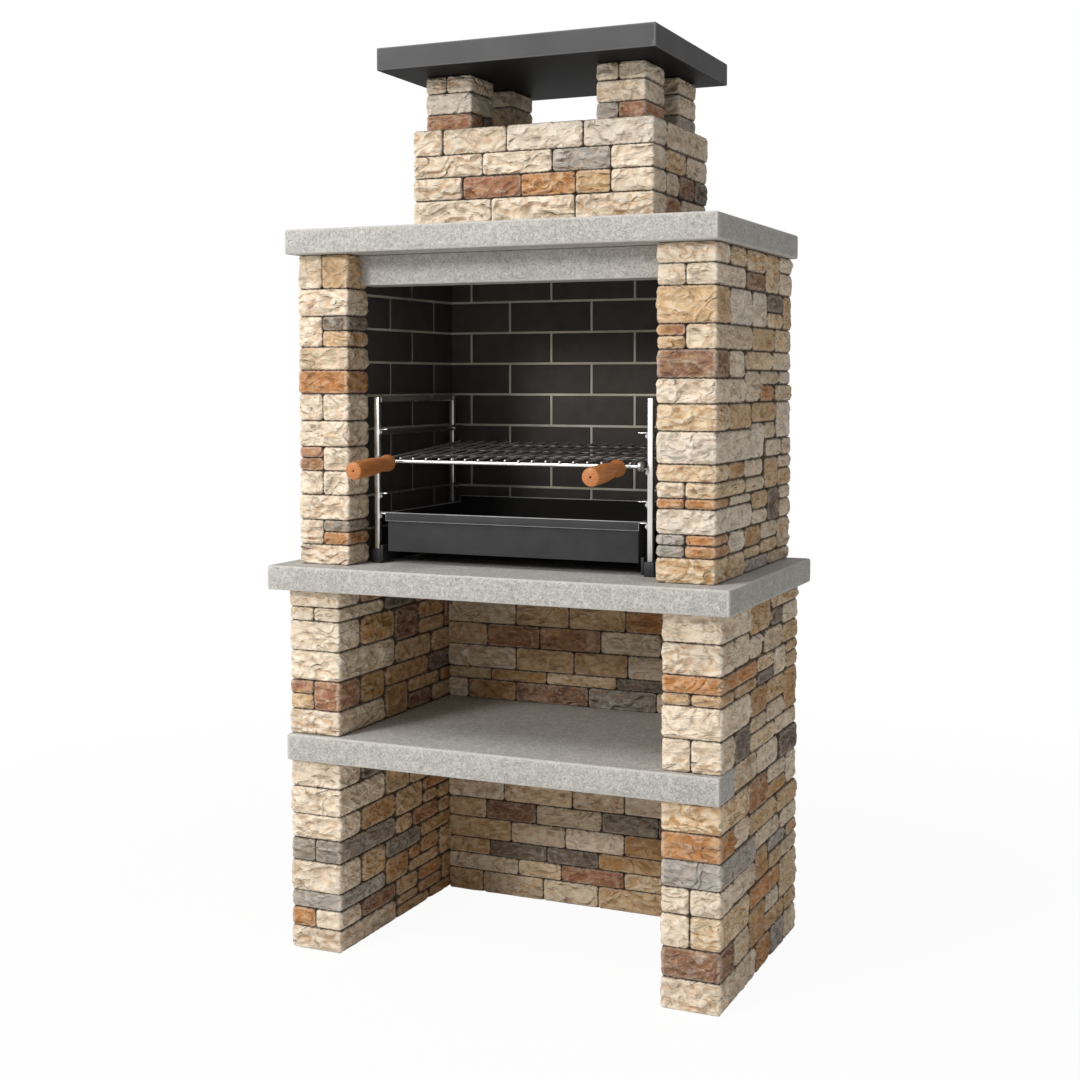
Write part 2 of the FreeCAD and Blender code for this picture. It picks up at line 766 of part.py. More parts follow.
for side, name in ((-1, "left"), (1, "right")):
    bricks, panel = side_lining(side, lintel)
    shapes["lining_" + name + "_bricks"] = Part.makeCompound(bricks)
    shapes["lining_" + name + "_mortar"] = panel
bricks, panel = back_lining()
shapes["lining_back_bricks"] = Part.makeCompound(bricks)
shapes["lining_back_mortar"] = panel
shapes["lintel_beam"] = lintel
shapes["hood_slab"] = hood_slab()
shapes["chimney_stack"] = Part.makeCompound(stack_stones())
post_outer = stack_width / 2 - post_side_inset
post_fronts = {"front": stack_front + post_end_inset,
               "rear": stack_rear - post_end_inset - post_depth}
for row, front in post_fronts.items():
    shapes["post_" + row + "_left"] = Part.makeCompound(post_stones(-post_outer, front, "along"))
    shapes["post_" + row + "_right"] = Part.makeCompound(
        post_stones(post_outer - post_width, front, "across"))
shapes["chimney_cap"] = slab(-cap_width / 2, cap_width / 2, rear_face - cap_depth, rear_face,
                             post_top, post_top + cap_thickness, cap_arris)
grill = {}
for name, shape in side_frame().items():
    grill["right_" + name] = shape
    grill["left_" + name] = shape.mirror(Vector(0, 0, 0), Vector(1, 0, 0))
grill["grid_frame"] = grid_frame()
grill["grid_wires"] = grid_wires()
for side, name in ((-1, "left"), (1, "right")):
    grill[name + "_grid_collar"] = grid_collar(side)
    grill[name + "_handle_rod"] = handle_rod(side)
    grill[name + "_grip"] = wooden_grip(side)
grill["ember_pan"] = ember_pan()
for name, shape in grill.items():
    shape.translate(Vector(grill_offset, 0, 0))
    shapes[name] = shape

# The origin lies on the ground in the middle of the whole outline, grips included.
front_tip = shapes["left_grip"].optimalBoundingBox().YMin
centre_shift = -(front_tip + rear_face) / 2
for name, shape in shapes.items():
    shape.translate(Vector(0, centre_shift, 0))
    shape.exportStep("parts/" + name + ".step")
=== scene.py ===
import json
import math
import random

import bmesh
import bpy
import numpy as np
from mathutils import Matrix, Vector


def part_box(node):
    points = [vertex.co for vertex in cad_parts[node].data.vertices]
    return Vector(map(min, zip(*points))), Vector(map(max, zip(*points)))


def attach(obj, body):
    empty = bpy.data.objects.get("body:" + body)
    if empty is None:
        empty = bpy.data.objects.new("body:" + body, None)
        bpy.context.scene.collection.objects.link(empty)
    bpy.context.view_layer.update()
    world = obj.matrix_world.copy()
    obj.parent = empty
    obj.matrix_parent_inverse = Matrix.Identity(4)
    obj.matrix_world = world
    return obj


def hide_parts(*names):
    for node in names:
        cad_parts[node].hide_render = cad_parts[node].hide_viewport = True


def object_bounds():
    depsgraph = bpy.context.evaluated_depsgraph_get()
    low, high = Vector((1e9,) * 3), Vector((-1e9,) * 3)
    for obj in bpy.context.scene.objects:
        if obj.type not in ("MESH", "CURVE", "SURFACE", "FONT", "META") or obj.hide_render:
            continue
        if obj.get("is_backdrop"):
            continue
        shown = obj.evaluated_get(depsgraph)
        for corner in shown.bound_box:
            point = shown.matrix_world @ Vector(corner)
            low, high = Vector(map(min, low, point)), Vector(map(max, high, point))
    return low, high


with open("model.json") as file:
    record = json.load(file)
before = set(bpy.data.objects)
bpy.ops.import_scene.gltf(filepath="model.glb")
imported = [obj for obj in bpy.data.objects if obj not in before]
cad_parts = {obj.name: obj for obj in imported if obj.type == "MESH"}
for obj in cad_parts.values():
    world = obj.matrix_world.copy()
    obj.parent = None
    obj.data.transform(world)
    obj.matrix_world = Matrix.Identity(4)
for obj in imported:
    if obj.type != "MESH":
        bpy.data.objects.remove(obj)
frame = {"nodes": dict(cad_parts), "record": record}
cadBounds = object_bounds()


def hexToLinear(code):   # sRGB hex to a linear RGBA colour
    parts = [int(code[place:place + 2], 16) / 255 for place in (0, 2, 4)]
    return tuple(p / 12.92 if p <= 0.04045 else ((p + 0.055) / 1.055) ** 2.4 for p in parts) + (1.0,)


def addNode(tree, kind, links=(), **settings):   # links: a value, socket or node per input, by place or by name
    node = tree.nodes.new(kind if "Node" in kind else "ShaderNode" + kind)
    for name, value in settings.items():
        setattr(node, name, value)
    for socket, source in (links if isinstance(links, dict) else dict(enumerate(links))).items():
        source = source.outputs[0] if isinstance(source, bpy.types.Node) else source
        if isinstance(source, bpy.types.NodeSocket):
            tree.links.new(source, node.inputs[socket])
        else:
            node.inputs[socket].default_value = source
    return node


def startMaterial(name):   # an empty material, its tree and the place on the object in metres
    material = bpy.data.materials.new(name)
    material.use_nodes = True
    tree = material.node_tree
    tree.nodes.clear()
    return material, tree, addNode(tree, "TexCoord").outputs["Object"]


def closeMaterial(material, tree, colour, bumps, rough, gloss=0.5, metal=0.0):
    # Bumps are height, strength, distance and whether they go inward, the finest first
    normal = {}
    for height, strength, distance, *inward in bumps:
        bump = addNode(tree, "Bump", {"Height": height, "Strength": strength, "Distance": distance, **normal},
                       invert=bool(inward))
        normal = {"Normal": bump}
    shader = addNode(tree, "BsdfPrincipled", {"Base Color": colour, "Roughness": rough, "Specular IOR Level": gloss,
                                              "Metallic": metal, **normal})
    addNode(tree, "OutputMaterial", {"Surface": shader})
    return material


def layPatterns(tree, place, plan):   # noises by name from (size in metres, detail, distortion, stretch)
    laid = {}
    for name, row in plan.items():
        size, detail, warp, stretch = (*row, *(0.0, None)[len(row) - 2:])
        spot = addNode(tree, "VectorMath", (place, stretch), operation="MULTIPLY") if stretch else place
        laid[name] = addNode(tree, "TexNoise", {"Vector": spot, "Scale": 1 / size, "Detail": detail,
                                                "Distortion": warp})
    return laid


def shadeBy(tree, colour, pattern, dark, pale, span=(0.3, 0.7)):   # the colour, darker and paler with a pattern
    shade = addNode(tree, "MapRange", (pattern, *span, dark, pale))
    return addNode(tree, "Mix", {0: 1.0, 6: colour, 7: shade}, data_type="RGBA", blend_type="MULTIPLY").outputs[2]


def tintWhere(tree, colour, pattern, span, share, tint, times=None):   # a tint over the colour along a pattern's span
    mask = addNode(tree, "MapRange", (pattern, *span, 0.0, share))
    if times is not None:
        mask = addNode(tree, "Math", (mask, times), operation="MULTIPLY")
    return addNode(tree, "Mix", {0: mask, 6: colour, 7: hexToLinear(tint)}, data_type="RGBA").outputs[2]


def levelLines(tree, noise, width, share):   # strokes along the middle level of a noise
    away = addNode(tree, "Math", (noise, 0.5), operation="SUBTRACT")
    away = addNode(tree, "Math", (away,), operation="ABSOLUTE")
    return addNode(tree, "MapRange", (away, 0.0, width, share, 0.0))


def stepOut(tree, spot, pitch, noise, wave, rise, fall):
    # Wavy ledges: each comes out quickly and leans back slowly above, so that its foot lies in shade
    up = addNode(tree, "SeparateXYZ", (spot,)).outputs[2]
    turns = addNode(tree, "Math", (up, pitch), operation="DIVIDE")
    turns = addNode(tree, "Math", (noise, wave, turns), operation="MULTIPLY_ADD")
    part = addNode(tree, "Math", (turns,), operation="FRACT")
    rising = addNode(tree, "Math", (part, rise), operation="MULTIPLY")
    falling = addNode(tree, "Math", (part, -fall, fall), operation="MULTIPLY_ADD")
    return addNode(tree, "Math", (rising, falling), operation="MINIMUM")


def upwardShare(tree):   # how far a face looks up, -1 to 1
    facing = addNode(tree, "NewGeometry").outputs["True Normal"]
    return addNode(tree, "SeparateXYZ", (facing,)).outputs[2]


levelSpan = (0.985, 0.995)   # upward share between steep and level


def steepShare(tree):   # 0 on level faces, whose points all lie on the edge, and 1 elsewhere
    tip = addNode(tree, "Math", (upwardShare(tree),), operation="ABSOLUTE")
    return addNode(tree, "MapRange", (tip, *levelSpan, 1.0, 0.0))


def showPiece(name, mesh, body, node):   # links a finished mesh, which stands for one CAD node
    piece = bpy.data.objects.new(name, mesh)
    bpy.context.scene.collection.objects.link(piece)
    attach(piece, body)
    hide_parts(node)
    return piece


cameraPlan = {"place": (1.5092, -3.38975, 1.3233), "turn": 23.966, "dip": 3.0, "lens": 53.535, "shift": -0.07}

camera = bpy.data.objects.new("camera", bpy.data.cameras.new("camera"))
camera.location = cameraPlan["place"]
camera.rotation_euler = (math.radians(90 - cameraPlan["dip"]), 0, math.radians(cameraPlan["turn"]))
camera.data.sensor_width = 36
camera.data.lens = cameraPlan["lens"]
camera.data.shift_y = cameraPlan["shift"]
bpy.context.scene.collection.objects.link(camera)
bpy.context.scene.camera = camera
print("camera set")

# Split limestone with tumbled arrises: matt and chalky, ochre in the hollows with painted shade over it, worn pale
# and a painted highlight on ridges and edges, painted shade along the joints
stoneLook = {
    "sandy": "DEC6A2", "ochre": "C6965F", "hollow": "96724A", "crevice": "BB8A54", "jointShade": "3A2C20", "pale": "F5EBDB",
    "scoopWidth": 0.2, "terracePitch": 0.045, "terraceWave": 6.0, "terraceRise": 2.6, "terraceFall": 1.25,
    "ragged": 0.006, "split": 0.82,
    "patterns": {"blotch": (0.045, 3.0), "patch": (0.032, 5.0, 0.6), "vein": (0.030, 4.0, 0.9, (1.0, 1.0, 2.2)),
                 "scoop": (0.042, 2.0, 0.8, (0.9, 0.9, 1.8)), "flake": (0.015, 2.0, 0.8, (0.9, 0.9, 1.8)),
                 "terrace": (0.075, 2.0, 0.4, (0.85, 0.85, 1.0)), "speck": (0.0028, 2.0), "pit": (0.0065, 3.0),
                 "grain": (0.0032, 3.0)},
}


def makeSplitStone():
    look = stoneLook
    material, tree, place = startMaterial("splitLimestoneTumbled")
    told = {name: addNode(tree, "Attribute", attribute_name=name).outputs
            for name in ("stoneShift", "stoneTone", "relief", "rim", "arris", "stain")}
    relief, rim, arris, stain = [told[name]["Fac"] for name in ("relief", "rim", "arris", "stain")]
    steep = steepShare(tree)
    spot = addNode(tree, "VectorMath", (place, told["stoneShift"]["Vector"]), operation="ADD")
    laid = layPatterns(tree, spot, look["patterns"])
    # shallow scoops with sharp ridges between them, as the splitting chisel leaves them, and long terraces
    scoop, flake = [levelLines(tree, laid[name], look["scoopWidth"], 1.0) for name in ("scoop", "flake")]
    terrace = stepOut(tree, spot, look["terracePitch"], laid["terrace"], look["terraceWave"], look["terraceRise"],
                      look["terraceFall"])
    # sandy patches, ochre along the bedding and in crevices, painted shade in the scoops, pale crests that are worn
    # and a painted highlight, and painted shade along the joints
    colour = shadeBy(tree, told["stoneTone"]["Color"], laid["blotch"], 0.88, 1.10)
    colour = tintWhere(tree, colour, laid["patch"], (0.46, 0.66), 0.9, look["sandy"], stain)
    colour = tintWhere(tree, colour, laid["vein"], (0.50, 0.66), 1.0, look["ochre"], stain)
    # ochre stain and painted shade in the hollows of the relief
    colour = tintWhere(tree, colour, relief, (-0.10, -0.40), 0.42, look["hollow"])
    # ridges paler: worn and a painted highlight
    colour = tintWhere(tree, colour, relief, (0.10, 0.42), 0.28, look["pale"])
    colour = tintWhere(tree, colour, terrace, (0.34, 0.03), 1.2, look["crevice"], stain)
    # painted shade: darker away from the scoop crests
    colour = shadeBy(tree, colour, scoop, 0.80, 1.03, (0.0, 0.6))
    # scoop crests paler: worn and a painted highlight
    colour = tintWhere(tree, colour, scoop, (0.80, 1.0), 0.2, look["pale"])
    colour = shadeBy(tree, colour, laid["speck"], 0.93, 1.05)
    # arris paler on steep faces: worn and a painted highlight
    colour = tintWhere(tree, colour, arris, (0.0065, 0.002), 0.22, look["pale"], steep)
    # painted shade along the joints between the stones, with a ragged edge
    ragged = addNode(tree, "Math", (laid["pit"], look["ragged"], rim), operation="MULTIPLY_ADD")
    colour = tintWhere(tree, colour, ragged, (0.0056, 0.0034), 0.88, look["jointShade"], steep)
    # the beds are sawn, only the faces are split
    split = addNode(tree, "Math", (look["split"], steep), operation="MULTIPLY")
    bumps = ((laid["grain"], 0.35, 0.0012), (laid["pit"], 0.5, 0.0022), (flake, 0.4, 0.0010), (scoop, split, 0.0047),
             (terrace, split, 0.0052))
    return closeMaterial(material, tree, colour, bumps, 0.86, 0.3)


# Concrete cast in a smooth mould: pale grey, short curled pale and dark flecks of sand, arris rubbed bright and a
# painted highlight along it
concreteLook = {
    "grey": "B1AEA8", "rubbed": "D9D6D0", "strokeWidth": 0.05, "strokeWarp": 2.0,
    # offset of the pattern, size, share and tint
    "strokes": (((0.0, 0.0, 0.0), 0.0165, 0.7, "85827D"), ((3.1, 1.7, 4.3), 0.0165, 0.6, "DEDBD5"),
                ((5.7, 2.9, 1.3), 0.034, 0.4, "DEDBD5")),
    "patterns": {"cloud": (0.060, 4.0), "grit": (0.0034, 3.0)},
}


def makeConcrete():
    look = concreteLook
    material, tree, place = startMaterial("castConcrete")
    arris = addNode(tree, "Attribute", attribute_name="arris").outputs["Fac"]
    laid = layPatterns(tree, place, look["patterns"])
    colour = shadeBy(tree, hexToLinear(look["grey"]), laid["cloud"], 0.93, 1.05)
    strokes = []
    for offset, size, share, tint in look["strokes"]:
        moved = addNode(tree, "VectorMath", (place, offset), operation="ADD")
        noise = layPatterns(tree, moved, {"stroke": (size, 1.0, look["strokeWarp"])})["stroke"]
        strokes.append(levelLines(tree, noise, look["strokeWidth"], share))
        colour = addNode(tree, "Mix", {0: strokes[-1], 6: colour, 7: hexToLinear(tint)}, data_type="RGBA").outputs[2]
    # paler along the arris on steep faces: rubbed and a painted highlight
    colour = tintWhere(tree, colour, arris, (0.006, 0.001), 0.6, look["rubbed"], steepShare(tree))
    bumps = ((laid["grit"], 0.4, 0.0010), (strokes[0], 0.6, 0.0014, "inward"))
    return closeMaterial(material, tree, colour, bumps, 0.82, 0.3)


# Smooth anthracite coating over cast concrete: satin, paler where the arris is rubbed and a painted highlight, darker
# underneath as soot and painted shade
capLook = {"grey": "5B5B5C", "rubbed": "9A9A9A", "soot": "191817",
           "patterns": {"cloud": (0.09, 3.0), "grit": (0.0024, 2.0)}}


def makeCoating():
    material, tree, place = startMaterial("coatedConcreteSatin")
    arris = addNode(tree, "Attribute", attribute_name="arris").outputs["Fac"]
    laid = layPatterns(tree, place, capLook["patterns"])
    colour = shadeBy(tree, hexToLinear(capLook["grey"]), laid["cloud"], 0.92, 1.08)
    # paler along the arris: rubbed and a painted highlight
    colour = tintWhere(tree, colour, arris, (0.004, 0.0005), 0.4, capLook["rubbed"], steepShare(tree))
    # underside darker by its facing: soot and painted shade under the cap
    colour = tintWhere(tree, colour, upwardShare(tree), (-0.6, -0.95), 0.9, capLook["soot"])
    return closeMaterial(material, tree, colour, [(laid["grit"], 0.25, 0.0006)], 0.55, 0.03)


# Pressed firebrick, burnt dark: matt, faint mottling, rubbed edges a shade paler
brickLook = {"rubbed": "5A544E", "patterns": {"mottle": (0.035, 4.0), "grain": (0.0026, 3.0)}}


def makeFireBrick():
    material, tree, place = startMaterial("firebrickPressed")
    tone = addNode(tree, "Attribute", attribute_name="stoneTone").outputs["Color"]
    rim = addNode(tree, "Attribute", attribute_name="rim").outputs["Fac"]
    laid = layPatterns(tree, place, brickLook["patterns"])
    colour = shadeBy(tree, tone, laid["mottle"], 0.82, 1.18)
    colour = tintWhere(tree, colour, rim, (0.003, 0.0008), 0.35, brickLook["rubbed"])
    return closeMaterial(material, tree, colour, [(laid["grain"], 0.3, 0.0006)], 0.8, 0.35)


# Lime mortar struck flush: sandy, grey-beige, sooted in patches
mortarLook = {"tone": "C8BFB1", "patterns": {"soot": (0.12, 4.0), "sand": (0.0022, 2.0)}}


def makeMortar():
    material, tree, place = startMaterial("limeMortarStruck")
    laid = layPatterns(tree, place, mortarLook["patterns"])
    colour = shadeBy(tree, hexToLinear(mortarLook["tone"]), laid["soot"], 0.7, 1.1)
    return closeMaterial(material, tree, colour, [(laid["sand"], 0.5, 0.0008)], 0.92, 0.2)


# Stainless and plated steel: the brushing or drawing lines run along the piece and spread the gloss across it
steelLook = {"line": 0.0011, "run": 0.060, "smear": (0.05, 3.0)}


def makeSteel(name, tone, rough, run):   # run: axis the lines follow
    material, tree, place = startMaterial(name)
    stretch = [1 / steelLook["run" if axis == run else "line"] for axis in range(3)]
    laid = layPatterns(tree, place, {"lines": (1.0, 3.0, 0.0, stretch), "smear": steelLook["smear"]})
    colour = shadeBy(tree, hexToLinear(tone), laid["lines"], 0.88, 1.06)
    dull = addNode(tree, "MapRange", (laid["smear"], 0.3, 0.7, rough - 0.06, rough + 0.08))
    return closeMaterial(material, tree, colour, [(laid["lines"], 0.2, 0.0002)], dull, metal=1.0)


# Heat-proof paint on steel sheet: black-grey satin with a faint orange peel and dust
paintLook = {"peel": (0.0035, 1.0), "dust": (0.05, 4.0)}


def makePaint(name, tone, rough, gloss):
    material, tree, place = startMaterial(name)
    laid = layPatterns(tree, place, paintLook)
    colour = shadeBy(tree, hexToLinear(tone), laid["dust"], 0.9, 1.12)
    dull = addNode(tree, "MapRange", (laid["dust"], 0.3, 0.7, rough - 0.05, rough + 0.07))
    return closeMaterial(material, tree, colour, [(laid["peel"], 0.12, 0.0004)], dull, gloss)


# Turned and oiled beech: warm tan, grain lines and short ray flecks along the grip
beechLook = {"pale": "D18E53", "deep": "A45B28", "ray": "8A4E24",
             "lines": {"grain": (0.0016, 0.055), "fleck": (0.0009, 0.006)}}


def makeBeech():
    material, tree, place = startMaterial("beechTurnedOiled")
    laid = layPatterns(tree, place, {name: (1.0, 3.0, 0.0, (1 / across, 1 / along, 1 / across))
                                     for name, (across, along) in beechLook["lines"].items()})
    colour = tintWhere(tree, hexToLinear(beechLook["pale"]), laid["grain"], (0.32, 0.68), 1.0, beechLook["deep"])
    colour = tintWhere(tree, colour, laid["fleck"], (0.6, 0.72), 0.35, beechLook["ray"])
    return closeMaterial(material, tree, colour, [(laid["grain"], 0.2, 0.0003)], 0.42, 0.45)


splitStone = makeSplitStone()
castConcrete = makeConcrete()
coatedConcrete = makeCoating()
fireBrick = makeFireBrick()
limeMortar = makeMortar()
brushedPost = makeSteel("stainlessSteelBrushedUpright", "D9D8D5", 0.34, 2)
brushedRail = makeSteel("stainlessSteelBrushedAlong", "C9C8C5", 0.36, 1)
foldedStrip = makeSteel("zincPlatedStripFolded", "9A9A98", 0.42, 1)
# a dark copy of the steel: painted shade
shadedRod = makeSteel("steelRodPaintedShade", "5A5957", 0.5, 0)
drawnRod = makeSteel("stainlessSteelDrawnRod", "D6D5D2", 0.28, 0)
drawnWire = makeSteel("stainlessSteelDrawnWire", "DCDBD8", 0.46, 1)
# a paler, glossier copy of the steel: painted highlight on edges
highlightSteel = makeSteel("stainlessSteelPaintedHighlight", "F0EFEC", 0.22, 1)
studSteel = makeSteel("zincPlatedStudTurned", "D2D2D0", 0.25, 0)
blackPaint = makePaint("heatProofPaintBlack", "232325", 0.48, 0.4)
panPaint = makePaint("heatProofPaintPan", "444445", 0.55, 0.08)
# pale paint for edges: painted highlight
highlightPaint = makePaint("heatProofPaintHighlight", "C2C2C2", 0.35, 0.5)
# dark paint for the inside: soot and painted shade
sootAndShadePaint = makePaint("heatProofPaintSootAndShade", "232221", 0.8, 0.05)
turnedBeech = makeBeech()
print("materials mixed")

# Named tones of the stones; a letter stands for each in the course lists below
toneHex = {
    "c": "EDDDC7", "p": "E9DDCB", "y": "E6CFAD", "b": "DAC8AE", "t": "CFB089", "o": "B97C49",
    "r": "9E6C53", "d": "84604E", "g": "ACA69E", "m": "8F877D", "k": "70665C", "h": "B88E5E",
}
toneStain = {"c": 0.34, "p": 0.16, "y": 0.6, "b": 0.35, "t": 0.5, "o": 0.55, "r": 0.35, "d": 0.22,
             "g": 0.12, "m": 0.15, "k": 0.1, "h": 0.45}

# The faces of stones and slabs: grid step, how the arris falls away and how far the relief is held back from it
stonePlan = {
    "step": 0.0052, "fineSteps": (0.0007, 0.0020, 0.0042, 0.0075), "arrisWidth": 0.0080, "arrisDrop": 0.0070,
    "cornerRound": 0.0090, "holdWidth": 0.0085, "cornerHold": 0.020, "pillarArris": 0.0075, "sideJoint": 0.42,
    "sideBed": 0.6,
}
arcSteps = 4   # points round a shown corner
cornerKeep = 0.25   # share of the relief that is left on a shown corner
cornerFall = 1.4   # how steeply a face falls away past its rounded corner
farAway = 1.0   # metres, where nothing is near
sideways = 0.7   # a face turned this far to the side is a side face
finePart = 0.4   # share of a face that its fine steps may take up


def stations(length, plan, fineStart, fineEnd):   # places along a line, closer together near a joint
    fine = [f for f in plan["fineSteps"] if f < length * finePart]
    head = fine if fineStart else []
    tail = [length - f for f in fine] if fineEnd else []
    first = head[-1] if head else 0.0
    last = tail[-1] if tail else length
    count = max(1, round((last - first) / plan["step"]))
    middle = [first + (last - first) * k / count for k in range(count + 1)]
    return np.unique(np.round(np.array([0.0] + head + middle + tail + [length]), 7))


def walkOutline(corners, shown, plan):
    # Rows of x, y, outward x, outward y, shown, distance to a hidden end, distance to a shown corner
    total = len(corners)
    start = next((i for i in range(total) if not shown[i]), 0)
    order = [(start + i) % total for i in range(total)]
    rows = []
    chain = []
    bow = plan["pillarArris"]

    def closeChain():
        if not chain:
            return
        along = np.concatenate([[0], np.cumsum([math.dist(a[:2], b[:2]) for a, b in zip(chain, chain[1:])])])
        arrises = [along[k] for k, row in enumerate(chain) if row[4] == 2]
        for k, row in enumerate(chain):
            ends = farAway if all(shown) else min(along[k], along[-1] - along[k])
            if abs(row[2]) > sideways:
                ends *= plan.get("sideJoint", 1.0)
            gaps = [abs(along[k] - a) for a in arrises]
            if all(shown):
                gaps = [min(g, along[-1] + bow - g) for g in gaps]
            rows.append((*row[:4], 1.0, ends, min(gaps, default=farAway)))
        chain.clear()

    for i in order:
        a, b = Vector(corners[i]), Vector(corners[(i + 1) % total])
        way = (b - a).normalized()
        out = Vector((way.y, -way.x))
        before, after = shown[i - 1], shown[(i + 1) % total]
        if not shown[i]:
            closeChain()
            if not after:
                rows.append((b.x, b.y, 0.0, 0.0, 0.0, 0.0, farAway))
            continue
        trimA = bow if before else 0.0
        trimB = bow if after else 0.0
        span = (b - a).length - trimA - trimB
        for s in stations(span, plan, not before, not after):
            p = a + way * (trimA + s)
            chain.append((p.x, p.y, out.x, out.y, 1))
        if after:
            nextWay = (Vector(corners[(i + 2) % total]) - b).normalized()
            nextOut = Vector((nextWay.y, -nextWay.x))
            centre = b - way * bow - out * bow
            for k in range(1, arcSteps):
                turn = k / arcSteps * math.pi / 2
                n = out * math.cos(turn) + nextOut * math.sin(turn)
                p = centre + n * bow
                chain.append((p.x, p.y, n.x, n.y, 2))
    closeChain()
    return np.array(rows)


def addPrism(build, corners, shown, bottom, top, plan):
    # One stone or slab over its plan outline; attributes say how each point is carved later
    walk = walkOutline(corners, shown, plan)
    rise = stations(top - bottom, plan, True, True)
    rows, cols = len(rise), len(walk)
    rear = np.maximum(walk[:, 3], 0)   # how far a point faces the rear, where the stones keep behind the slabs
    x, y = np.tile(walk[:, 0], rows), np.tile(walk[:, 1] - rear * plan.get("rearInset", 0.0), rows)
    z = np.repeat(bottom + rise, cols)
    out = np.tile(np.column_stack([walk[:, 2:4], np.zeros(cols)]), (rows, 1))
    side = np.tile(walk[:, 5], rows)
    lean = 1 - (1 - plan.get("sideBed", 1.0)) * np.abs(walk[:, 2])   # beds gape more on the side faces
    up = np.repeat(np.minimum(rise, rise[-1] - rise), cols) * np.tile(lean, rows)
    over = np.hypot(np.maximum(plan["cornerRound"] - side, 0), np.maximum(plan["cornerRound"] - up, 0))
    rim = np.where(over > 0, plan["cornerRound"] - over, np.minimum(side, up))
    part = np.clip(1 - rim / plan["arrisWidth"], 0, 1)
    drop = plan["arrisDrop"] * (1 - np.sqrt(1 - part ** 2)) + np.maximum(-rim, 0) * cornerFall
    ease = np.clip(rim / plan["holdWidth"], 0, 1)
    bend = np.clip(np.tile(walk[:, 6], rows) / plan["cornerHold"], 0, 1)
    hold = ease * ease * (3 - 2 * ease) * (cornerKeep + (1 - cornerKeep) * bend)
    hold *= np.tile(1 - rear * (1 - plan.get("rearRelief", 1.0)), rows)
    seen = np.tile(walk[:, 4], rows)
    first = build["count"]
    grid = first + np.arange(rows * cols).reshape(rows, cols)
    right = np.roll(grid, -1, axis=1)
    quads = np.stack([grid[:-1], right[:-1], right[1:], grid[1:]], axis=-1).reshape(-1, 4)
    build["faces"] += quads.tolist()
    build["faces"] += [grid[-1].tolist(), grid[0][::-1].tolist()]
    build["count"] += rows * cols
    build["place"].append(np.column_stack([x, y, z]))
    build["outward"].append(out)
    build["hold"].append(hold * seen)
    build["drop"].append(drop * seen)
    build["rim"].append(np.where(seen > 0, rim, 0.0))
    build["arris"].append(np.where(seen > 0, np.minimum(rim, np.tile(walk[:, 6], rows)), 0.0))
    return rows * cols


pointFields = {"outward": "FLOAT_VECTOR", "hold": "FLOAT", "drop": "FLOAT", "rim": "FLOAT", "arris": "FLOAT",
               "stoneShift": "FLOAT_VECTOR", "stoneTone": "FLOAT_COLOR", "stain": "FLOAT"}
valueName = {"FLOAT": "value", "FLOAT_VECTOR": "vector", "FLOAT_COLOR": "color"}


def newBuild():
    return {"count": 0, "faces": [], "place": [], **{field: [] for field in pointFields}}


def buildMesh(name, build):
    mesh = bpy.data.meshes.new(name)
    mesh.from_pydata(np.concatenate(build["place"]).tolist(), [], build["faces"])
    for field, kind in pointFields.items():
        if build[field]:
            data = np.concatenate(build[field]).astype(np.float32)
            mesh.attributes.new(field, kind, "POINT").data.foreach_set(valueName[kind], data.ravel())
    return mesh


def openTree(name, numbers, **others):   # a geometry tree with named inputs, floats and others, and what it is given
    tree = bpy.data.node_groups.new(name, "GeometryNodeTree")
    kinds = {"Geometry": "Geometry", **dict.fromkeys(numbers, "Float"), **others, "finish": "Material"}
    for socket, kind in kinds.items():
        tree.interface.new_socket(socket, in_out="INPUT", socket_type="NodeSocket" + kind)
    tree.interface.new_socket("Geometry", in_out="OUTPUT", socket_type="NodeSocketGeometry")
    return tree, addNode(tree, "NodeGroupInput").outputs


def closeTree(tree, given, geometry):   # instances made real, the material set, and the output
    real = addNode(tree, "GeometryNodeRealizeInstances", (geometry,))
    coloured = addNode(tree, "GeometryNodeSetMaterial", {"Geometry": real, "Material": given["finish"]})
    addNode(tree, "NodeGroupOutput", (coloured,))
    return tree


carvePlan = {"bedding": (0.85, 0.85, 1.25), "scoopLevel": 0.1, "wave": 5.0, "rise": 4.0, "fall": 1.333,
             "swellSpan": (-0.16, 0.16), "ledgeShare": (0.25, 1.0)}


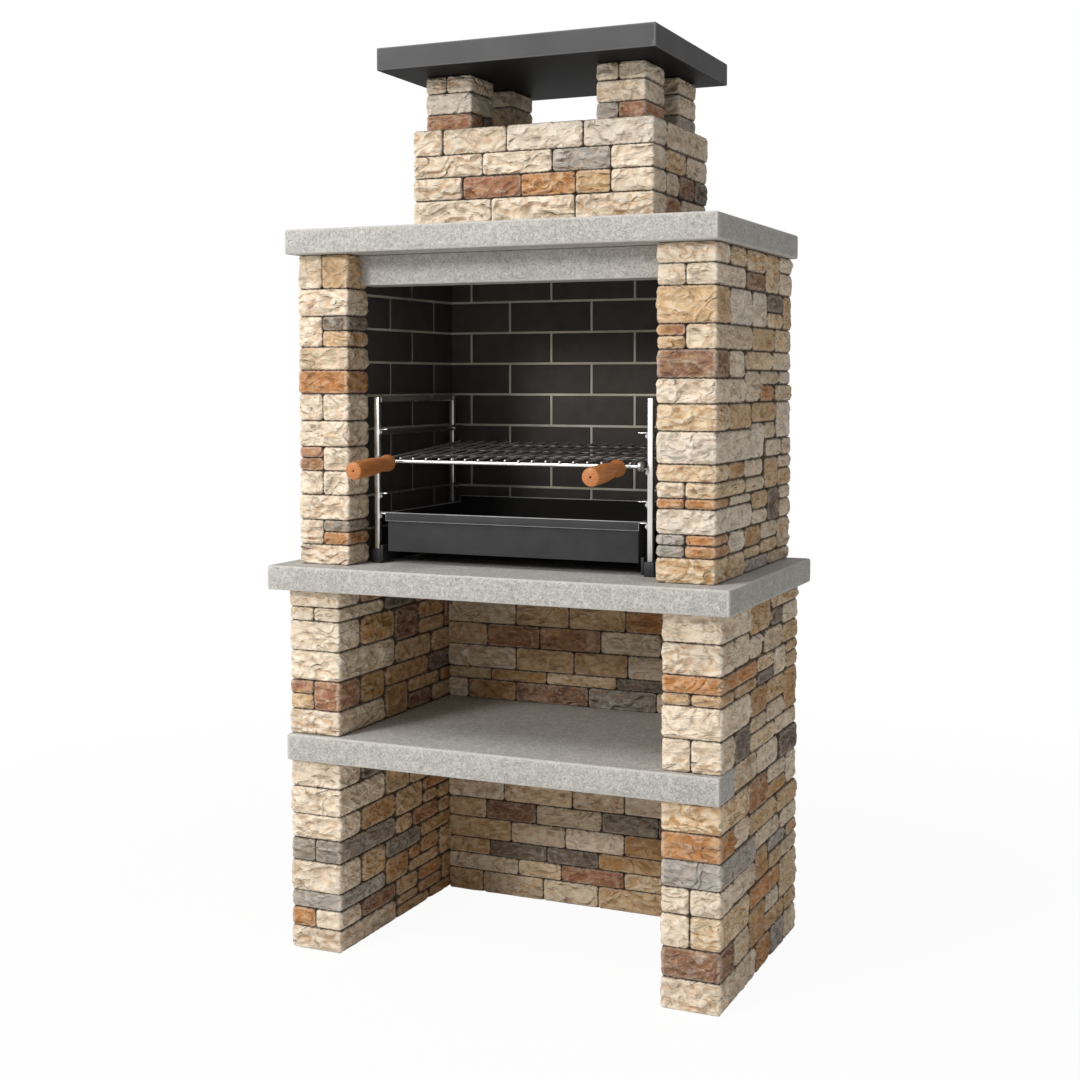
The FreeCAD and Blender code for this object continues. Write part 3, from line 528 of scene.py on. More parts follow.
def makeCarveTree():
    # Wavy ledges, slow swells, scoops and small lumps stand out of a smooth face; the arrises fall away
    tree, given = openTree("carveFace", ("ledgePitch", "ledgeDepth", "ledgeWave", "swellSize", "swellDepth",
                                         "lumpSize", "lumpDepth", "scoopSize", "scoopDepth", "wornArris"))
    spot = addNode(tree, "GeometryNodeInputPosition")
    told = {name: addNode(tree, "GeometryNodeInputNamedAttribute", {"Name": name}, data_type=kind)
            for name, kind in (("stoneShift", "FLOAT_VECTOR"), ("outward", "FLOAT_VECTOR"), ("hold", "FLOAT"),
                               ("drop", "FLOAT"))}
    moved = addNode(tree, "VectorMath", (spot, told["stoneShift"]), operation="ADD")
    bedded = addNode(tree, "VectorMath", (moved, carvePlan["bedding"]), operation="MULTIPLY")
    noises = []   # -0.5 to 0.5 at four sizes, all but the lumps drawn out along the bedding
    for size, detail, spread in (("ledgeWave", 2.0, bedded), ("swellSize", 1.0, bedded), ("lumpSize", 3.0, moved),
                                 ("scoopSize", 1.0, bedded)):
        scale = addNode(tree, "Math", (1.0, given[size]), operation="DIVIDE")
        noise = addNode(tree, "TexNoise", {"Vector": spread, "Scale": scale, "Detail": detail})
        noises.append(addNode(tree, "Math", (noise, 0.5), operation="SUBTRACT"))
    wave, swell, lump, scoop = noises
    scoop = addNode(tree, "Math", (scoop,), operation="ABSOLUTE")
    scoop = addNode(tree, "Math", (carvePlan["scoopLevel"], scoop), operation="SUBTRACT")
    ledge = stepOut(tree, moved, given["ledgePitch"], wave, carvePlan["wave"], carvePlan["rise"], carvePlan["fall"])
    ledge = addNode(tree, "Math", (ledge, 0.5), operation="SUBTRACT")
    weight = addNode(tree, "MapRange", (swell, *carvePlan["swellSpan"], *carvePlan["ledgeShare"]))
    ledge = addNode(tree, "Math", (ledge, weight), operation="MULTIPLY")
    height, *more = [addNode(tree, "Math", (form, given[depth]), operation="MULTIPLY") for form, depth in
                     ((ledge, "ledgeDepth"), (swell, "swellDepth"), (lump, "lumpDepth"), (scoop, "scoopDepth"))]
    for term in more:
        height = addNode(tree, "Math", (height, term))
    held = addNode(tree, "Math", (height, told["hold"]), operation="MULTIPLY")
    chip = addNode(tree, "Math", (lump, given["wornArris"], 1.0), operation="MULTIPLY_ADD")
    away = addNode(tree, "Math", (told["drop"], chip), operation="MULTIPLY")
    reach = addNode(tree, "Math", (held, away), operation="SUBTRACT")
    offset = addNode(tree, "VectorMath", {0: told["outward"], "Scale": reach}, operation="SCALE")
    # the ledges are kept for the material before the points move
    mark = addNode(tree, "Math", (ledge, told["hold"]), operation="MULTIPLY")
    noted = addNode(tree, "GeometryNodeStoreNamedAttribute",
                    {"Geometry": given["Geometry"], "Name": "relief", "Value": mark},
                    data_type="FLOAT", domain="POINT")
    carved = addNode(tree, "GeometryNodeSetPosition", {"Geometry": noted, "Offset": offset})
    return closeTree(tree, given, carved)


carveTree = makeCarveTree()


def throughTree(mesh, tree, values):   # runs a mesh through a node tree and gives back a plain mesh
    carrier = bpy.data.objects.new("carrier", mesh)
    bpy.context.scene.collection.objects.link(carrier)
    modifier = carrier.modifiers.new("nodes", "NODES")
    modifier.node_group = tree
    for item in tree.interface.items_tree:
        if item.in_out == "INPUT" and item.name in values:
            modifier[item.identifier] = values[item.name]
    evaluated = carrier.evaluated_get(bpy.context.evaluated_depsgraph_get())
    made = bpy.data.meshes.new_from_object(evaluated)
    carrier.modifiers.remove(modifier)
    bpy.data.objects.remove(carrier)
    made.name = mesh.name
    return made


stoneAngle, steelAngle, gripAngle = 55, 40, 35   # degrees past which an edge is sharp


def showCarved(piece, build, values, node):   # carves what was built and shows it as a piece of the masonry
    mesh = throughTree(buildMesh(piece, build), carveTree, values)
    for name in ("outward", "hold", "drop"):
        mesh.attributes.remove(mesh.attributes[name])
    mesh.shade_smooth()
    mesh.set_sharp_from_angle(angle=math.radians(stoneAngle))
    for face in mesh.polygons:
        face.use_smooth = face.loop_total < 5   # the flat beds and tops keep their own normal
    showPiece(piece, mesh, "masonry", node)
    return mesh


def solidsOf(node):   # corner points of each CAD solid; its triangles lie together and close one by one
    mesh = frame["nodes"][node].data
    place = np.zeros(len(mesh.vertices) * 3)
    mesh.vertices.foreach_get("co", place)
    keys, same = np.unique(np.round(place.reshape(-1, 3), 6), axis=0, return_inverse=True)
    same = same.ravel()
    solids, members, loose = [], set(), set()
    for poly in mesh.polygons:
        ids = [int(same[v]) for v in poly.vertices]
        members.update(ids)
        for edge in zip(ids, ids[1:] + ids[:1]):
            if edge[::-1] in loose:
                loose.remove(edge[::-1])
            else:
                loose.add(edge)
        if not loose:
            solids.append(keys[sorted(members)])
            members = set()
    return solids


# Tones of the front corners run from the top down, left to right; accents are (place along the wall, height, tone)
# and, where more than one stone lies at that place, its place across the wall
wallPlans = (
    {"piece": "baseLeftStones", "node": "base_left_wall", "seed": 5, "along": 1, "pool": "tttthhhhhoodrk",
     "front": "c cc c c rrt c c c c mm c g oc c",
     "accents": ((0.107, 0.697, "d"), (-0.006, 0.709, "h"), (-0.102, 0.781, "t"), (-0.071, 0.242, "h"),
                 (0.017, 0.202, "m"), (-0.077, 0.152, "t"), (0.143, 0.083, "o"))},
    {"piece": "baseRightStones", "node": "base_right_wall", "seed": 8, "along": 1, "pool": "cccccccbbbbyyyttth",
     "front": "c c o tt c cc y o g cc cy d c",
     "accents": ((0.087, 0.817, "h"), (0.179, 0.767, "k"), (0.048, 0.770, "t"), (0.082, 0.674, "k"),
                 (-0.036, 0.676, "o"), (0.083, 0.642, "h"), (-0.040, 0.563, "k"), (0.247, 0.468, "k"),
                 (0.263, 0.577, "h"), (0.249, 0.377, "h"), (0.098, 0.372, "r"), (0.234, 0.271, "g"),
                 (-0.044, 0.392, "y"), (0.112, 0.169, "o"), (0.037, 0.120, "h"), (0.190, 0.092, "t"),
                 (0.090, 0.030, "o"), (0.250, 0.028, "g"))},
    {"piece": "baseBackStones", "node": "base_back_wall", "seed": 12, "step": 0.0066, "along": 0, "front": "",
     "accents": ((-0.072, 0.649, "r"), (-0.237, 0.548, "h"), (-0.156, 0.586, "h"), (-0.085, 0.738, "t"),
                 (0.075, 0.742, "t"), (0.128, 0.554, "m"), (-0.222, 0.215, "d"), (0.082, 0.213, "m"),
                 (-0.222, 0.129, "h"), (-0.222, 0.106, "k"), (-0.072, 0.101, "k"), (0.082, 0.117, "h"),
                 (0.008, 0.063, "r"), (-0.337, 0.215, "t"), (-0.338, 0.118, "t"), (0.114, 0.177, "h"))},
    {"piece": "hearthLeftStones", "node": "hearth_left_wall", "seed": 21, "along": 1,
     "front": "ct c ckt b o cc c rcr cc c cmo c", "accents": (), "lining": "lining_left_mortar"},
    {"piece": "hearthRightStones", "node": "hearth_right_wall", "seed": 34, "along": 1,
     "pool": "ccccccccpppbbbbyyytto", "front": "c cc t rbt d c y p y cy oo p gogo y", "lining": "lining_right_mortar",
     "accents": ((0.114, 1.521, "d"), (0.260, 1.517, "k"), (0.037, 1.561, "y"), (-0.101, 1.586, "y"),
                 (0.228, 1.579, "y"), (0.052, 1.433, "o"), (0.089, 1.408, "t"), (0.242, 1.396, "y"),
                 (0.101, 1.291, "o"), (0.141, 1.265, "t"), (-0.042, 1.137, "h"), (0.118, 1.046, "t"),
                 (0.252, 1.044, "k"), (0.009, 0.995, "h"), (-0.028, 0.938, "m"), (-0.019, 0.914, "g"))},
    {"piece": "hearthBackStones", "node": "hearth_back_wall", "seed": 41, "step": 0.0066, "along": 0, "front": "",
     "accents": ()},
    {"piece": "chimneyStones", "node": "chimney_stack", "seed": 52, "along": 1,
     "front": "ccpp ccgc crotc ccc",
     "accents": ((0.19, 1.765, "d", 0.22), (0.28, 1.765, "k", 0.22), (0.10, 1.817, "y", 0.22),
                 (0.30, 1.817, "c", 0.22), (0.15, 1.870, "c", 0.22))},
    {"piece": "postFrontLeftStones", "node": "post_front_left", "seed": 61, "along": 1, "all": "ccprk"},
    {"piece": "postFrontRightStones", "node": "post_front_right", "seed": 62, "along": 1, "all": "cccgr"},
    {"piece": "postRearLeftStones", "node": "post_rear_left", "seed": 63, "along": 1, "all": "bcbtb"},
    {"piece": "postRearRightStones", "node": "post_rear_right", "seed": 64, "along": 1, "all": "tbcbg"},
)
tonePool = "ccccccccyyyyyybbbbttttthhodrk"   # how often each tone comes among the other stones
rearPlan = {"rearInset": 0.0060, "rearRelief": 0.5}   # stones on the rear plane, which stands against a wall
carveValues = {"ledgePitch": 0.030, "ledgeDepth": 0.0110, "ledgeWave": 0.075, "swellSize": 0.055, "swellDepth": 0.014,
               "lumpSize": 0.018, "lumpDepth": 0.0035, "scoopSize": 0.045, "scoopDepth": 0.030, "wornArris": 1.4,
               "finish": splitStone}
sideReach = 0.0055   # a face this near the wall's own face is in view
jambReach = 0.005   # how far a stone has to pass the jamb to be notched
patternShift = 4   # metres that each stone's pattern may be moved
tintSpread = (0.94, 1.05)
stainSpread = (0.6, 1.3)


def boxOutline(low, high):
    return [(low.x, low.y), (high.x, low.y), (high.x, high.y), (low.x, high.y)]


def stoneOutline(low, high, wallLow, wallHigh, lining):
    shown = [low.y - wallLow.y < sideReach, wallHigh.x - high.x < sideReach,
             wallHigh.y - high.y < sideReach, low.x - wallLow.x < sideReach]
    corners = boxOutline(low, high)
    if lining is None or low.y > lining[0].y - jambReach or high.y < lining[0].y + jambReach:
        return corners, shown
    jamb = lining[0].y
    if low.x < 0 and wallHigh.x - high.x < sideReach:   # left wall: notched on its right behind the jamb
        back = lining[0].x
        corners = [corners[0], corners[1], (high.x, jamb), (back, jamb), (back, high.y), corners[3]]
        return corners, [shown[0], True, False, False, shown[2], shown[3]]
    if low.x > 0 and low.x - wallLow.x < sideReach:
        back = lining[1].x
        corners = [corners[0], corners[1], corners[2], (back, high.y), (back, jamb), (low.x, jamb)]
        return corners, [shown[0], shown[1], shown[2], False, False, True]
    return corners, shown


def pickTones(plan, boxes, wallLow):
    rng = random.Random(plan["seed"])
    tones = {}
    rank = sorted(range(len(boxes)),
                  key=lambda i: (-round(boxes[i][1].z, 3), round(boxes[i][0].x, 3), boxes[i][0].y))
    named = [i for i in rank if "all" in plan or (plan["front"] and boxes[i][0].y - wallLow.y < sideReach)]
    letters = plan.get("all", plan.get("front", "")).replace(" ", "")
    if len(letters) != len(named):
        print("tones of", plan["piece"], "given", len(letters), "wanted", len(named))
    for i, letter in zip(named, letters):
        tones[i] = letter
    for i in rank:
        drawn = rng.choice(plan.get("pool", tonePool))
        low, high = boxes[i]
        along = plan["along"]
        for place, height, letter, *across in plan.get("accents", ()):
            beside = across and not low[1 - along] <= across[0] < high[1 - along]
            if low[along] <= place < high[along] and low.z <= height < high.z and not beside:
                drawn = letter
        tones.setdefault(i, drawn)
    return tones


layingSeed, brickSeed = 100, 70


def shiftPattern(build, count, rng):   # each stone or brick shows its own place of the pattern
    shift = [rng.uniform(-patternShift, patternShift) for axis in range(3)]
    build["stoneShift"].append(np.tile(shift, (count, 1)))


for plan in wallPlans:
    wallLow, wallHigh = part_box(plan["node"])
    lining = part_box(plan["lining"]) if "lining" in plan else None
    boxes = [(Vector(points.min(0)), Vector(points.max(0))) for points in solidsOf(plan["node"])]
    tones = pickTones(plan, boxes, wallLow)
    rng = random.Random(plan["seed"] + layingSeed)
    build = newBuild()
    for i, (low, high) in enumerate(boxes):
        corners, shown = stoneOutline(low, high, wallLow, wallHigh, lining)
        atRear = rearPlan if cadBounds[1][1] - high.y < sideReach else {}
        count = addPrism(build, corners, shown, low.z, high.z,
                         {**stonePlan, "step": plan.get("step", stonePlan["step"]), **atRear})
        shiftPattern(build, count, rng)
        tint = rng.uniform(*tintSpread)
        colour = [c * tint for c in hexToLinear(toneHex[tones[i]])[:3]] + [1.0]
        build["stoneTone"].append(np.tile(colour, (count, 1)))
        build["stain"].append(np.full(count, toneStain[tones[i]] * rng.uniform(*stainSpread)))
    mesh = showCarved(plan["piece"], build, carveValues, plan["node"])
    print("laid", plan["piece"], len(boxes), "stones,", sum(len(p.vertices) - 2 for p in mesh.polygons), "triangles")

# Slabs: wider steps, a small even arris
slabPlan = {"step": 0.009, "fineSteps": (0.0005, 0.0014, 0.0028, 0.0048), "arrisWidth": 0.0055, "arrisDrop": 0.0055,
            "cornerRound": 0.0055, "holdWidth": 0.012, "cornerHold": 0.012, "pillarArris": 0.005}
slabValues = {"ledgePitch": 0.03, "ledgeDepth": 0.0, "ledgeWave": 0.07, "swellSize": 0.05, "swellDepth": 0.0004,
              "lumpSize": 0.016, "lumpDepth": 0.0010, "scoopSize": 0.034, "scoopDepth": 0.0, "wornArris": 0.7,
              "finish": castConcrete}


def makeSlab(piece, node, corners, shown, plan, values):
    low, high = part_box(node)
    build = newBuild()
    count = addPrism(build, corners, shown, low.z, high.z, plan)
    build["stoneShift"].append(np.zeros((count, 3)))
    return showCarved(piece, build, values, node)


manyCorners = 20   # a level face has more of them
levelTip = 0.999   # a face that looks up this far is level


def relayLevels(mesh, low, high, hole):   # lays top and underside round a rectangle or a hole right through
    bm = bmesh.new()
    bm.from_mesh(mesh)
    levels = {}
    for face in [f for f in bm.faces if len(f.verts) > manyCorners]:
        levels[round(face.calc_center_median().z, 4)] = list(face.edges)
        bm.faces.remove(face)
    rings = []
    for z in sorted(levels):
        rings.append([bm.verts.new((x, y, z)) for x, y in boxOutline(low, high)])
        levels[z] += [bm.edges.new((rings[-1][k], rings[-1][(k + 1) % 4])) for k in range(4)]
    if hole:
        for k in range(4):
            after = (k + 1) % 4
            bm.faces.new((rings[0][after], rings[0][k], rings[1][k], rings[1][after]))
    else:
        bm.faces.new(rings[0])
        bm.faces.new(rings[1])
    for edges in levels.values():
        bmesh.ops.triangle_fill(bm, edges=edges, use_beauty=True)
    bmesh.ops.recalc_face_normals(bm, faces=bm.faces)
    for face in bm.faces:
        face.smooth = abs(face.normal.z) < levelTip
    bm.to_mesh(mesh)
    bm.free()


for piece, node in (("worktopSlab", "worktop_slab"), ("hoodSlab", "hood_slab")):
    mesh = makeSlab(piece, node, boxOutline(*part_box(node)), [True] * 4, slabPlan, slabValues)
flue = next(o for o in frame["record"]["physics"]["openings"] if o["name"] == "flue")
relayLevels(mesh, *[Vector(corner) for corner in flue["box_m"]], True)

# The shelf fills the gap between the walls and runs out over their front ends
shelfPlan = {"wing": 0.107}
low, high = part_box("shelf_slab")
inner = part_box("base_right_wall")[0].x
wing = low.y + shelfPlan["wing"]
makeSlab("shelfSlab", "shelf_slab",
         [(low.x, low.y), (high.x, low.y), (high.x, wing), (inner, wing), (inner, high.y), (-inner, high.y),
          (-inner, wing), (low.x, wing)],
         [True, True, False, False, True, False, False, True], slabPlan, slabValues)
makeSlab("lintelBeam", "lintel_beam", boxOutline(*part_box("lintel_beam")), [True, False, True, False],
         slabPlan, slabValues)
capPlan = {**slabPlan, "step": 0.012, "arrisWidth": 0.0035, "arrisDrop": 0.0035, "pillarArris": 0.003}
low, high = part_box("chimney_cap")
mesh = makeSlab("chimneyCap", "chimney_cap", boxOutline(low, high), [True] * 4, capPlan,
                {**slabValues, "lumpDepth": 0.0005, "wornArris": 0.2, "finish": coatedConcrete})
inset = Vector((0.03, 0.03, 0.0))   # keeps the relaid level faces clear of the arris
relayLevels(mesh, low + inset, high - inset, False)
print("slabs cast")

# Lining: dark bricks with a small arris, a little proud of the mortar
brickPlan = {"step": 0.05, "fineSteps": (0.0005, 0.0012, 0.0022), "arrisWidth": 0.0022, "arrisDrop": 0.0022,
             "cornerRound": 0.0018, "holdWidth": 0.008, "cornerHold": 0.008, "pillarArris": 0.001}
brickTones = ("3A3632", "413C38", "36312E", "3E3833")
for side, face in (("left", 1), ("right", 3), ("back", 0)):
    rng = random.Random(brickSeed + face)
    build = newBuild()
    for points in solidsOf(f"lining_{side}_bricks"):
        low, high = Vector(points.min(0)), Vector(points.max(0))
        shown = [edge == face for edge in range(4)]
        count = addPrism(build, boxOutline(low, high), shown, low.z, high.z, brickPlan)
        shiftPattern(build, count, rng)
        build["stoneTone"].append(np.tile(hexToLinear(rng.choice(brickTones)), (count, 1)))
    values = {**slabValues, "lumpDepth": 0.0006, "wornArris": 0.6, "finish": fireBrick}
    showCarved(side + "Bricks", build, values, f"lining_{side}_bricks")
    frame["nodes"][f"lining_{side}_mortar"].material_slots[0].material = limeMortar
print("hearth lined")


weldReach = 1e-6   # metres


def showSmooth(piece, bm, materials, angle, body, node):   # closes a bmesh and shows it as a piece
    bmesh.ops.remove_doubles(bm, verts=bm.verts, dist=weldReach)
    bmesh.ops.recalc_face_normals(bm, faces=bm.faces)
    mesh = bpy.data.meshes.new(piece)
    bm.to_mesh(mesh)
    bm.free()
    mesh.shade_smooth()
    mesh.set_sharp_from_angle(angle=math.radians(angle))
    for material in materials:
        mesh.materials.append(material)
    showPiece(piece, mesh, body, node)


edgePlan = {"flat": 1, "corner": 0.4, "segments": 2, "profile": 0.55}   # degrees; radians


def softCopy(node, width):   # the CAD shape with its edges broken, and the faces of the broken edges
    bm = bmesh.new()
    bm.from_mesh(frame["nodes"][node].data)
    bmesh.ops.remove_doubles(bm, verts=bm.verts, dist=weldReach)
    bmesh.ops.dissolve_limit(bm, angle_limit=math.radians(edgePlan["flat"]), verts=bm.verts, edges=bm.edges)
    edges = [e for e in bm.edges if len(e.link_faces) == 2 and e.calc_face_angle() > edgePlan["corner"]]
    cut = bmesh.ops.bevel(bm, geom=edges, offset=width, segments=edgePlan["segments"], profile=edgePlan["profile"],
                          affect="EDGES", clamp_overlap=True)
    return bm, cut["faces"]


def turnOn(bm, place, way, profile, sides):   # lathe work: profile is (along, radius) from the foot of the axis
    way = Vector(way).normalized()
    across = way.orthogonal().normalized()
    up = way.cross(across)
    rings = []
    for along, radius in profile:
        middle = Vector(place) + way * along
        if radius == 0:
            rings.append([bm.verts.new(middle)])
            continue
        turns = [2 * math.pi * k / sides for k in range(sides)]
        rings.append([bm.verts.new(middle + (across * math.cos(t) + up * math.sin(t)) * radius) for t in turns])
    for near, far in zip(rings, rings[1:]):
        for k in range(sides):
            corners = [near[k % len(near)], near[(k + 1) % sides % len(near)],
                       far[(k + 1) % sides % len(far)], far[k % len(far)]]
            bm.faces.new(list(dict.fromkeys(corners)))


rodArris = 0.2   # share of the radius


def rodProfile(length, radius):
    arris = radius * rodArris
    return [(0, 0), (0, radius - arris), (arris, radius), (length - arris, radius), (length, radius - arris),
            (length, 0)]


# Grill frame: square posts and flat strips, edges broken by the folding and sawing
framePlan = {"postEdge": 0.0016, "stripEdge": 0.0009, "footEdge": 0.0012, "plateEdge": 0.0009}
framePieces = (("front_upright", "postEdge", brushedPost), ("rear_upright", "postEdge", brushedPost),
               ("front_foot", "footEdge", blackPaint), ("rear_foot", "footEdge", blackPaint),
               ("top_rail", "postEdge", brushedRail), ("upper_rung", "stripEdge", foldedStrip),
               ("grid_rung", "stripEdge", foldedStrip), ("lower_rung", "stripEdge", foldedStrip),
               ("pan_runner", "stripEdge", foldedStrip), ("side_plate", "plateEdge", blackPaint))
for side in ("left", "right"):
    for part, edge, material in framePieces:
        words = part.split("_")
        piece = side + words[0].capitalize() + words[1].capitalize()
        bm, broken = softCopy(f"{side}_{part}", framePlan[edge])
        # the broken edges of posts and strips get the paler, glossier steel as a painted highlight
        for face in broken:
            face.material_index = 1 if edge in ("postEdge", "stripEdge") else 0
        showSmooth(piece, bm, [material, highlightSteel], steelAngle, "masonry", f"{side}_{part}")
print("grill frame set up")

# Stud heads: one hexagon with its corners turned off, set at every stud
boltPlan = {"headWidth": 0.0105, "headHeight": 0.0030, "domeHeight": 0.0010, "domeShare": 0.72, "sides": 6}


def makeBoltTree():
    tree, given = openTree("studHeads", ("headWidth", "headHeight", "domeHeight", "turn"))
    radius = addNode(tree, "Math", (given["headWidth"], 0.5), operation="MULTIPLY")
    rounded = addNode(tree, "Math", (radius, boltPlan["domeShare"]), operation="MULTIPLY")
    lift = addNode(tree, "CombineXYZ", {2: given["headHeight"]})
    head = addNode(tree, "GeometryNodeJoinGeometry")
    for top, depth, foot in ((radius, "headHeight", (0, 0, 0)), (rounded, "domeHeight", lift)):
        cone = addNode(tree, "GeometryNodeMeshCone", {"Vertices": boltPlan["sides"], "Radius Top": top,
                                                      "Radius Bottom": radius, "Depth": given[depth]})
        lifted = addNode(tree, "GeometryNodeTransform", {"Geometry": cone, "Translation": foot})
        tree.links.new(lifted.outputs[0], head.inputs[0])
    lean = addNode(tree, "CombineXYZ", {1: given["turn"]})
    rotation = addNode(tree, "FunctionNodeEulerToRotation", (lean,))
    placed = addNode(tree, "GeometryNodeInstanceOnPoints", {"Points": given["Geometry"], "Instance": head,
                                                            "Rotation": rotation})
    return closeTree(tree, given, placed)


boltTree = makeBoltTree()
for side, way in (("left", 1), ("right", -1)):
    seats = []
    for points in solidsOf(f"{side}_frame_bolts"):
        low, high = points.min(0), points.max(0)
        middle = (low + high) / 2
        seats.append((low[0] if way > 0 else high[0], middle[1], middle[2]))
    mesh = bpy.data.meshes.new(side + "Studs")
    mesh.from_pydata(seats, [], [])
    values = {**boltPlan, "turn": way * math.pi / 2, "finish": studSteel}
    showPiece(side + "Studs", throughTree(mesh, boltTree, values), "masonry", f"{side}_frame_bolts")
print("studs set")

# Cooking grid, drawn flat from the axis of its front bar and then laid on its rungs
gridPlan = {"bar": 0.0090, "sideBar": 0.0084, "crossBar": 0.0060, "footBar": 0.0076, "halfWidth": 0.310,
            "depth": 0.358, "rise": 0.025, "reach": 0.325, "crossPlaces": (0.34, 0.67), "footInset": 0.014,
            "wire": 0.0050, "wirePitch": 0.033, "wireCount": 19, "wireOver": 0.006, "wireArris": 0.0008,
            "rearOver": 0.003, "sides": 20, "wireSides": 12}
collars = [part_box(f"{side}_grid_collar") for side in ("left", "right")]
gridMiddle = (collars[0][0] + collars[0][1] + collars[1][0] + collars[1][1]) / 4
gridTilt = math.asin(gridPlan["rise"] / gridPlan["depth"])
gridLay = Matrix.Translation(gridMiddle) @ Matrix.Rotation(gridTilt, 4, "X")

bm = bmesh.new()
half, depth, sides = gridPlan["halfWidth"], gridPlan["depth"], gridPlan["sides"]
alongX = [((-gridPlan["reach"], 0, 0), 2 * gridPlan["reach"], gridPlan["bar"]),
          ((-half - gridPlan["rearOver"], depth, 0), 2 * half + 2 * gridPlan["rearOver"], gridPlan["bar"])]
alongX += [((-half, depth * share, 0), 2 * half, gridPlan["crossBar"]) for share in gridPlan["crossPlaces"]]
for place, length, width in alongX:
    count = len(bm.faces)
    turnOn(bm, place, (1, 0, 0), rodProfile(length, width / 2), sides)
    bm.faces.ensure_lookup_table()
    # the rear and cross bars get the dark steel as painted shade; only the front bar keeps the bright steel
    for face in bm.faces[count:]:
        face.material_index = 0 if place[1] == 0 else 1   # only the front bar is kept bright
for way in (-1, 1):
    turnOn(bm, (way * half, 0, 0), (0, 1, 0), rodProfile(depth, gridPlan["sideBar"] / 2), sides)
bm.transform(gridLay)
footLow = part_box("grid_frame")[0].z
for way in (-1, 1):
    foot = (gridMiddle.x + way * half, gridMiddle.y + depth - gridPlan["footInset"], footLow)
    turnOn(bm, foot, (0, 0, 1), rodProfile(gridPlan["rise"], gridPlan["footBar"] / 2), sides)
showSmooth("gridFrame", bm, [drawnRod, shadedRod], steelAngle, "grid", "grid_frame")


def makeWireTree():
    tree, given = openTree("gridWires", ("wirePitch", "wireLength", "wire", "arris", "tilt"), wireCount="Int",
                           firstWire="Vector", layPlace="Vector")
    step = addNode(tree, "CombineXYZ", (given["wirePitch"],))
    line = addNode(tree, "GeometryNodeMeshLine", {"Count": given["wireCount"], "Start Location": given["firstWire"],
                                                  "Offset": step})
    radius = addNode(tree, "Math", (given["wire"], 0.5), operation="MULTIPLY")
    nose = addNode(tree, "Math", (radius, given["arris"]), operation="SUBTRACT")
    shaft = addNode(tree, "Math", (given["arris"], -2.0, given["wireLength"]), operation="MULTIPLY_ADD")
    end = addNode(tree, "Math", (shaft, given["arris"]))
    forms = []   # nose, shaft and nose, then a disc at each end
    for foot, bottom, top, length in ((0.0, nose, radius, given["arris"]), (given["arris"], radius, radius, shaft),
                                      (end, radius, nose, given["arris"])):
        cone = addNode(tree, "GeometryNodeMeshCone", {"Vertices": gridPlan["wireSides"], "Radius Top": top,
                                                      "Radius Bottom": bottom, "Depth": length}, fill_type="NONE")
        forms.append((cone, foot, 0.0))
    for foot, turn in ((0.0, math.pi), (given["wireLength"], 0.0)):
        disc = addNode(tree, "GeometryNodeMeshCircle", {"Vertices": gridPlan["wireSides"], "Radius": nose},
                       fill_type="NGON")
        forms.append((disc, foot, turn))
    parts = addNode(tree, "GeometryNodeJoinGeometry")
    for form, foot, turn in forms:
        shift = addNode(tree, "CombineXYZ", {2: foot})
        moved = addNode(tree, "GeometryNodeTransform", {"Geometry": form, "Translation": shift,
                                                        "Rotation": (turn, 0, 0)})
        tree.links.new(moved.outputs[0], parts.inputs[0])
    whole = addNode(tree, "GeometryNodeMergeByDistance", {"Geometry": parts, "Distance": weldReach})
    rotation = addNode(tree, "FunctionNodeEulerToRotation", ((-math.pi / 2, 0, 0),))
    placed = addNode(tree, "GeometryNodeInstanceOnPoints", {"Points": line, "Instance": whole, "Rotation": rotation})
    real = addNode(tree, "GeometryNodeRealizeInstances", (placed,))
    lean = addNode(tree, "CombineXYZ", (given["tilt"],))
    laid = addNode(tree, "GeometryNodeTransform", {"Geometry": real, "Translation": given["layPlace"],
                                                   "Rotation": lean})
    return closeTree(tree, given, addNode(tree, "GeometryNodeSetShadeSmooth", {"Geometry": laid}))


wireTree = makeWireTree()
wireLevel = (gridPlan["bar"] + gridPlan["wire"]) / 2
mesh = bpy.data.meshes.new("gridWires")
mesh.from_pydata([(0, 0, 0)], [], [])
values = {"wireCount": gridPlan["wireCount"], "wirePitch": gridPlan["wirePitch"], "wire": gridPlan["wire"],
          "wireLength": depth + 2 * gridPlan["wireOver"], "arris": gridPlan["wireArris"], "tilt": gridTilt,
          "layPlace": gridMiddle,
          "firstWire": (-gridPlan["wirePitch"] * (gridPlan["wireCount"] - 1) / 2, -gridPlan["wireOver"], wireLevel),
          "finish": drawnWire}
mesh = throughTree(mesh, wireTree, values)
mesh.set_sharp_from_angle(angle=math.radians(steelAngle))
showPiece("gridWires", mesh, "grid", "grid_wires")

# Collars, rods and turned grips at both ends of the front bar
gripPlan = {"offset": 0.280, "rod": 0.0080, "rodStart": 0.0046, "rodEnd": 0.160, "start": 0.025, "hole": 0.0045,
            "holeDepth": 0.028, "holeArris": 0.0008, "sides": 48,
            "turning": ((0.0, 0.0042), (0.0, 0.0125), (0.0012, 0.0146), (0.0040, 0.0170), (0.0075, 0.0185),
                        (0.0115, 0.0190), (0.0160, 0.0189), (0.0220, 0.0181), (0.0290, 0.0171), (0.0380, 0.0165),
                        (0.0480, 0.0167), (0.0620, 0.0178), (0.0780, 0.0192), (0.0920, 0.0199), (0.1100, 0.0200),
                        (0.1400, 0.0200), (0.1600, 0.0199), (0.1625, 0.0194), (0.1640, 0.0184), (0.1650, 0.0165))}
collarPlan = {"bore": 0.0046, "outer": 0.0120, "length": 0.0090, "arris": 0.0014, "inner": 0.3155, "sides": 32}


def turnPiece(piece, node, place, way, profile, sides, material, angle):   # one turned piece, laid with the grid
    bm = bmesh.new()
    turnOn(bm, place, way, profile, sides)
    bm.transform(gridLay)
    showSmooth(piece, bm, [material], angle, "grid", node)


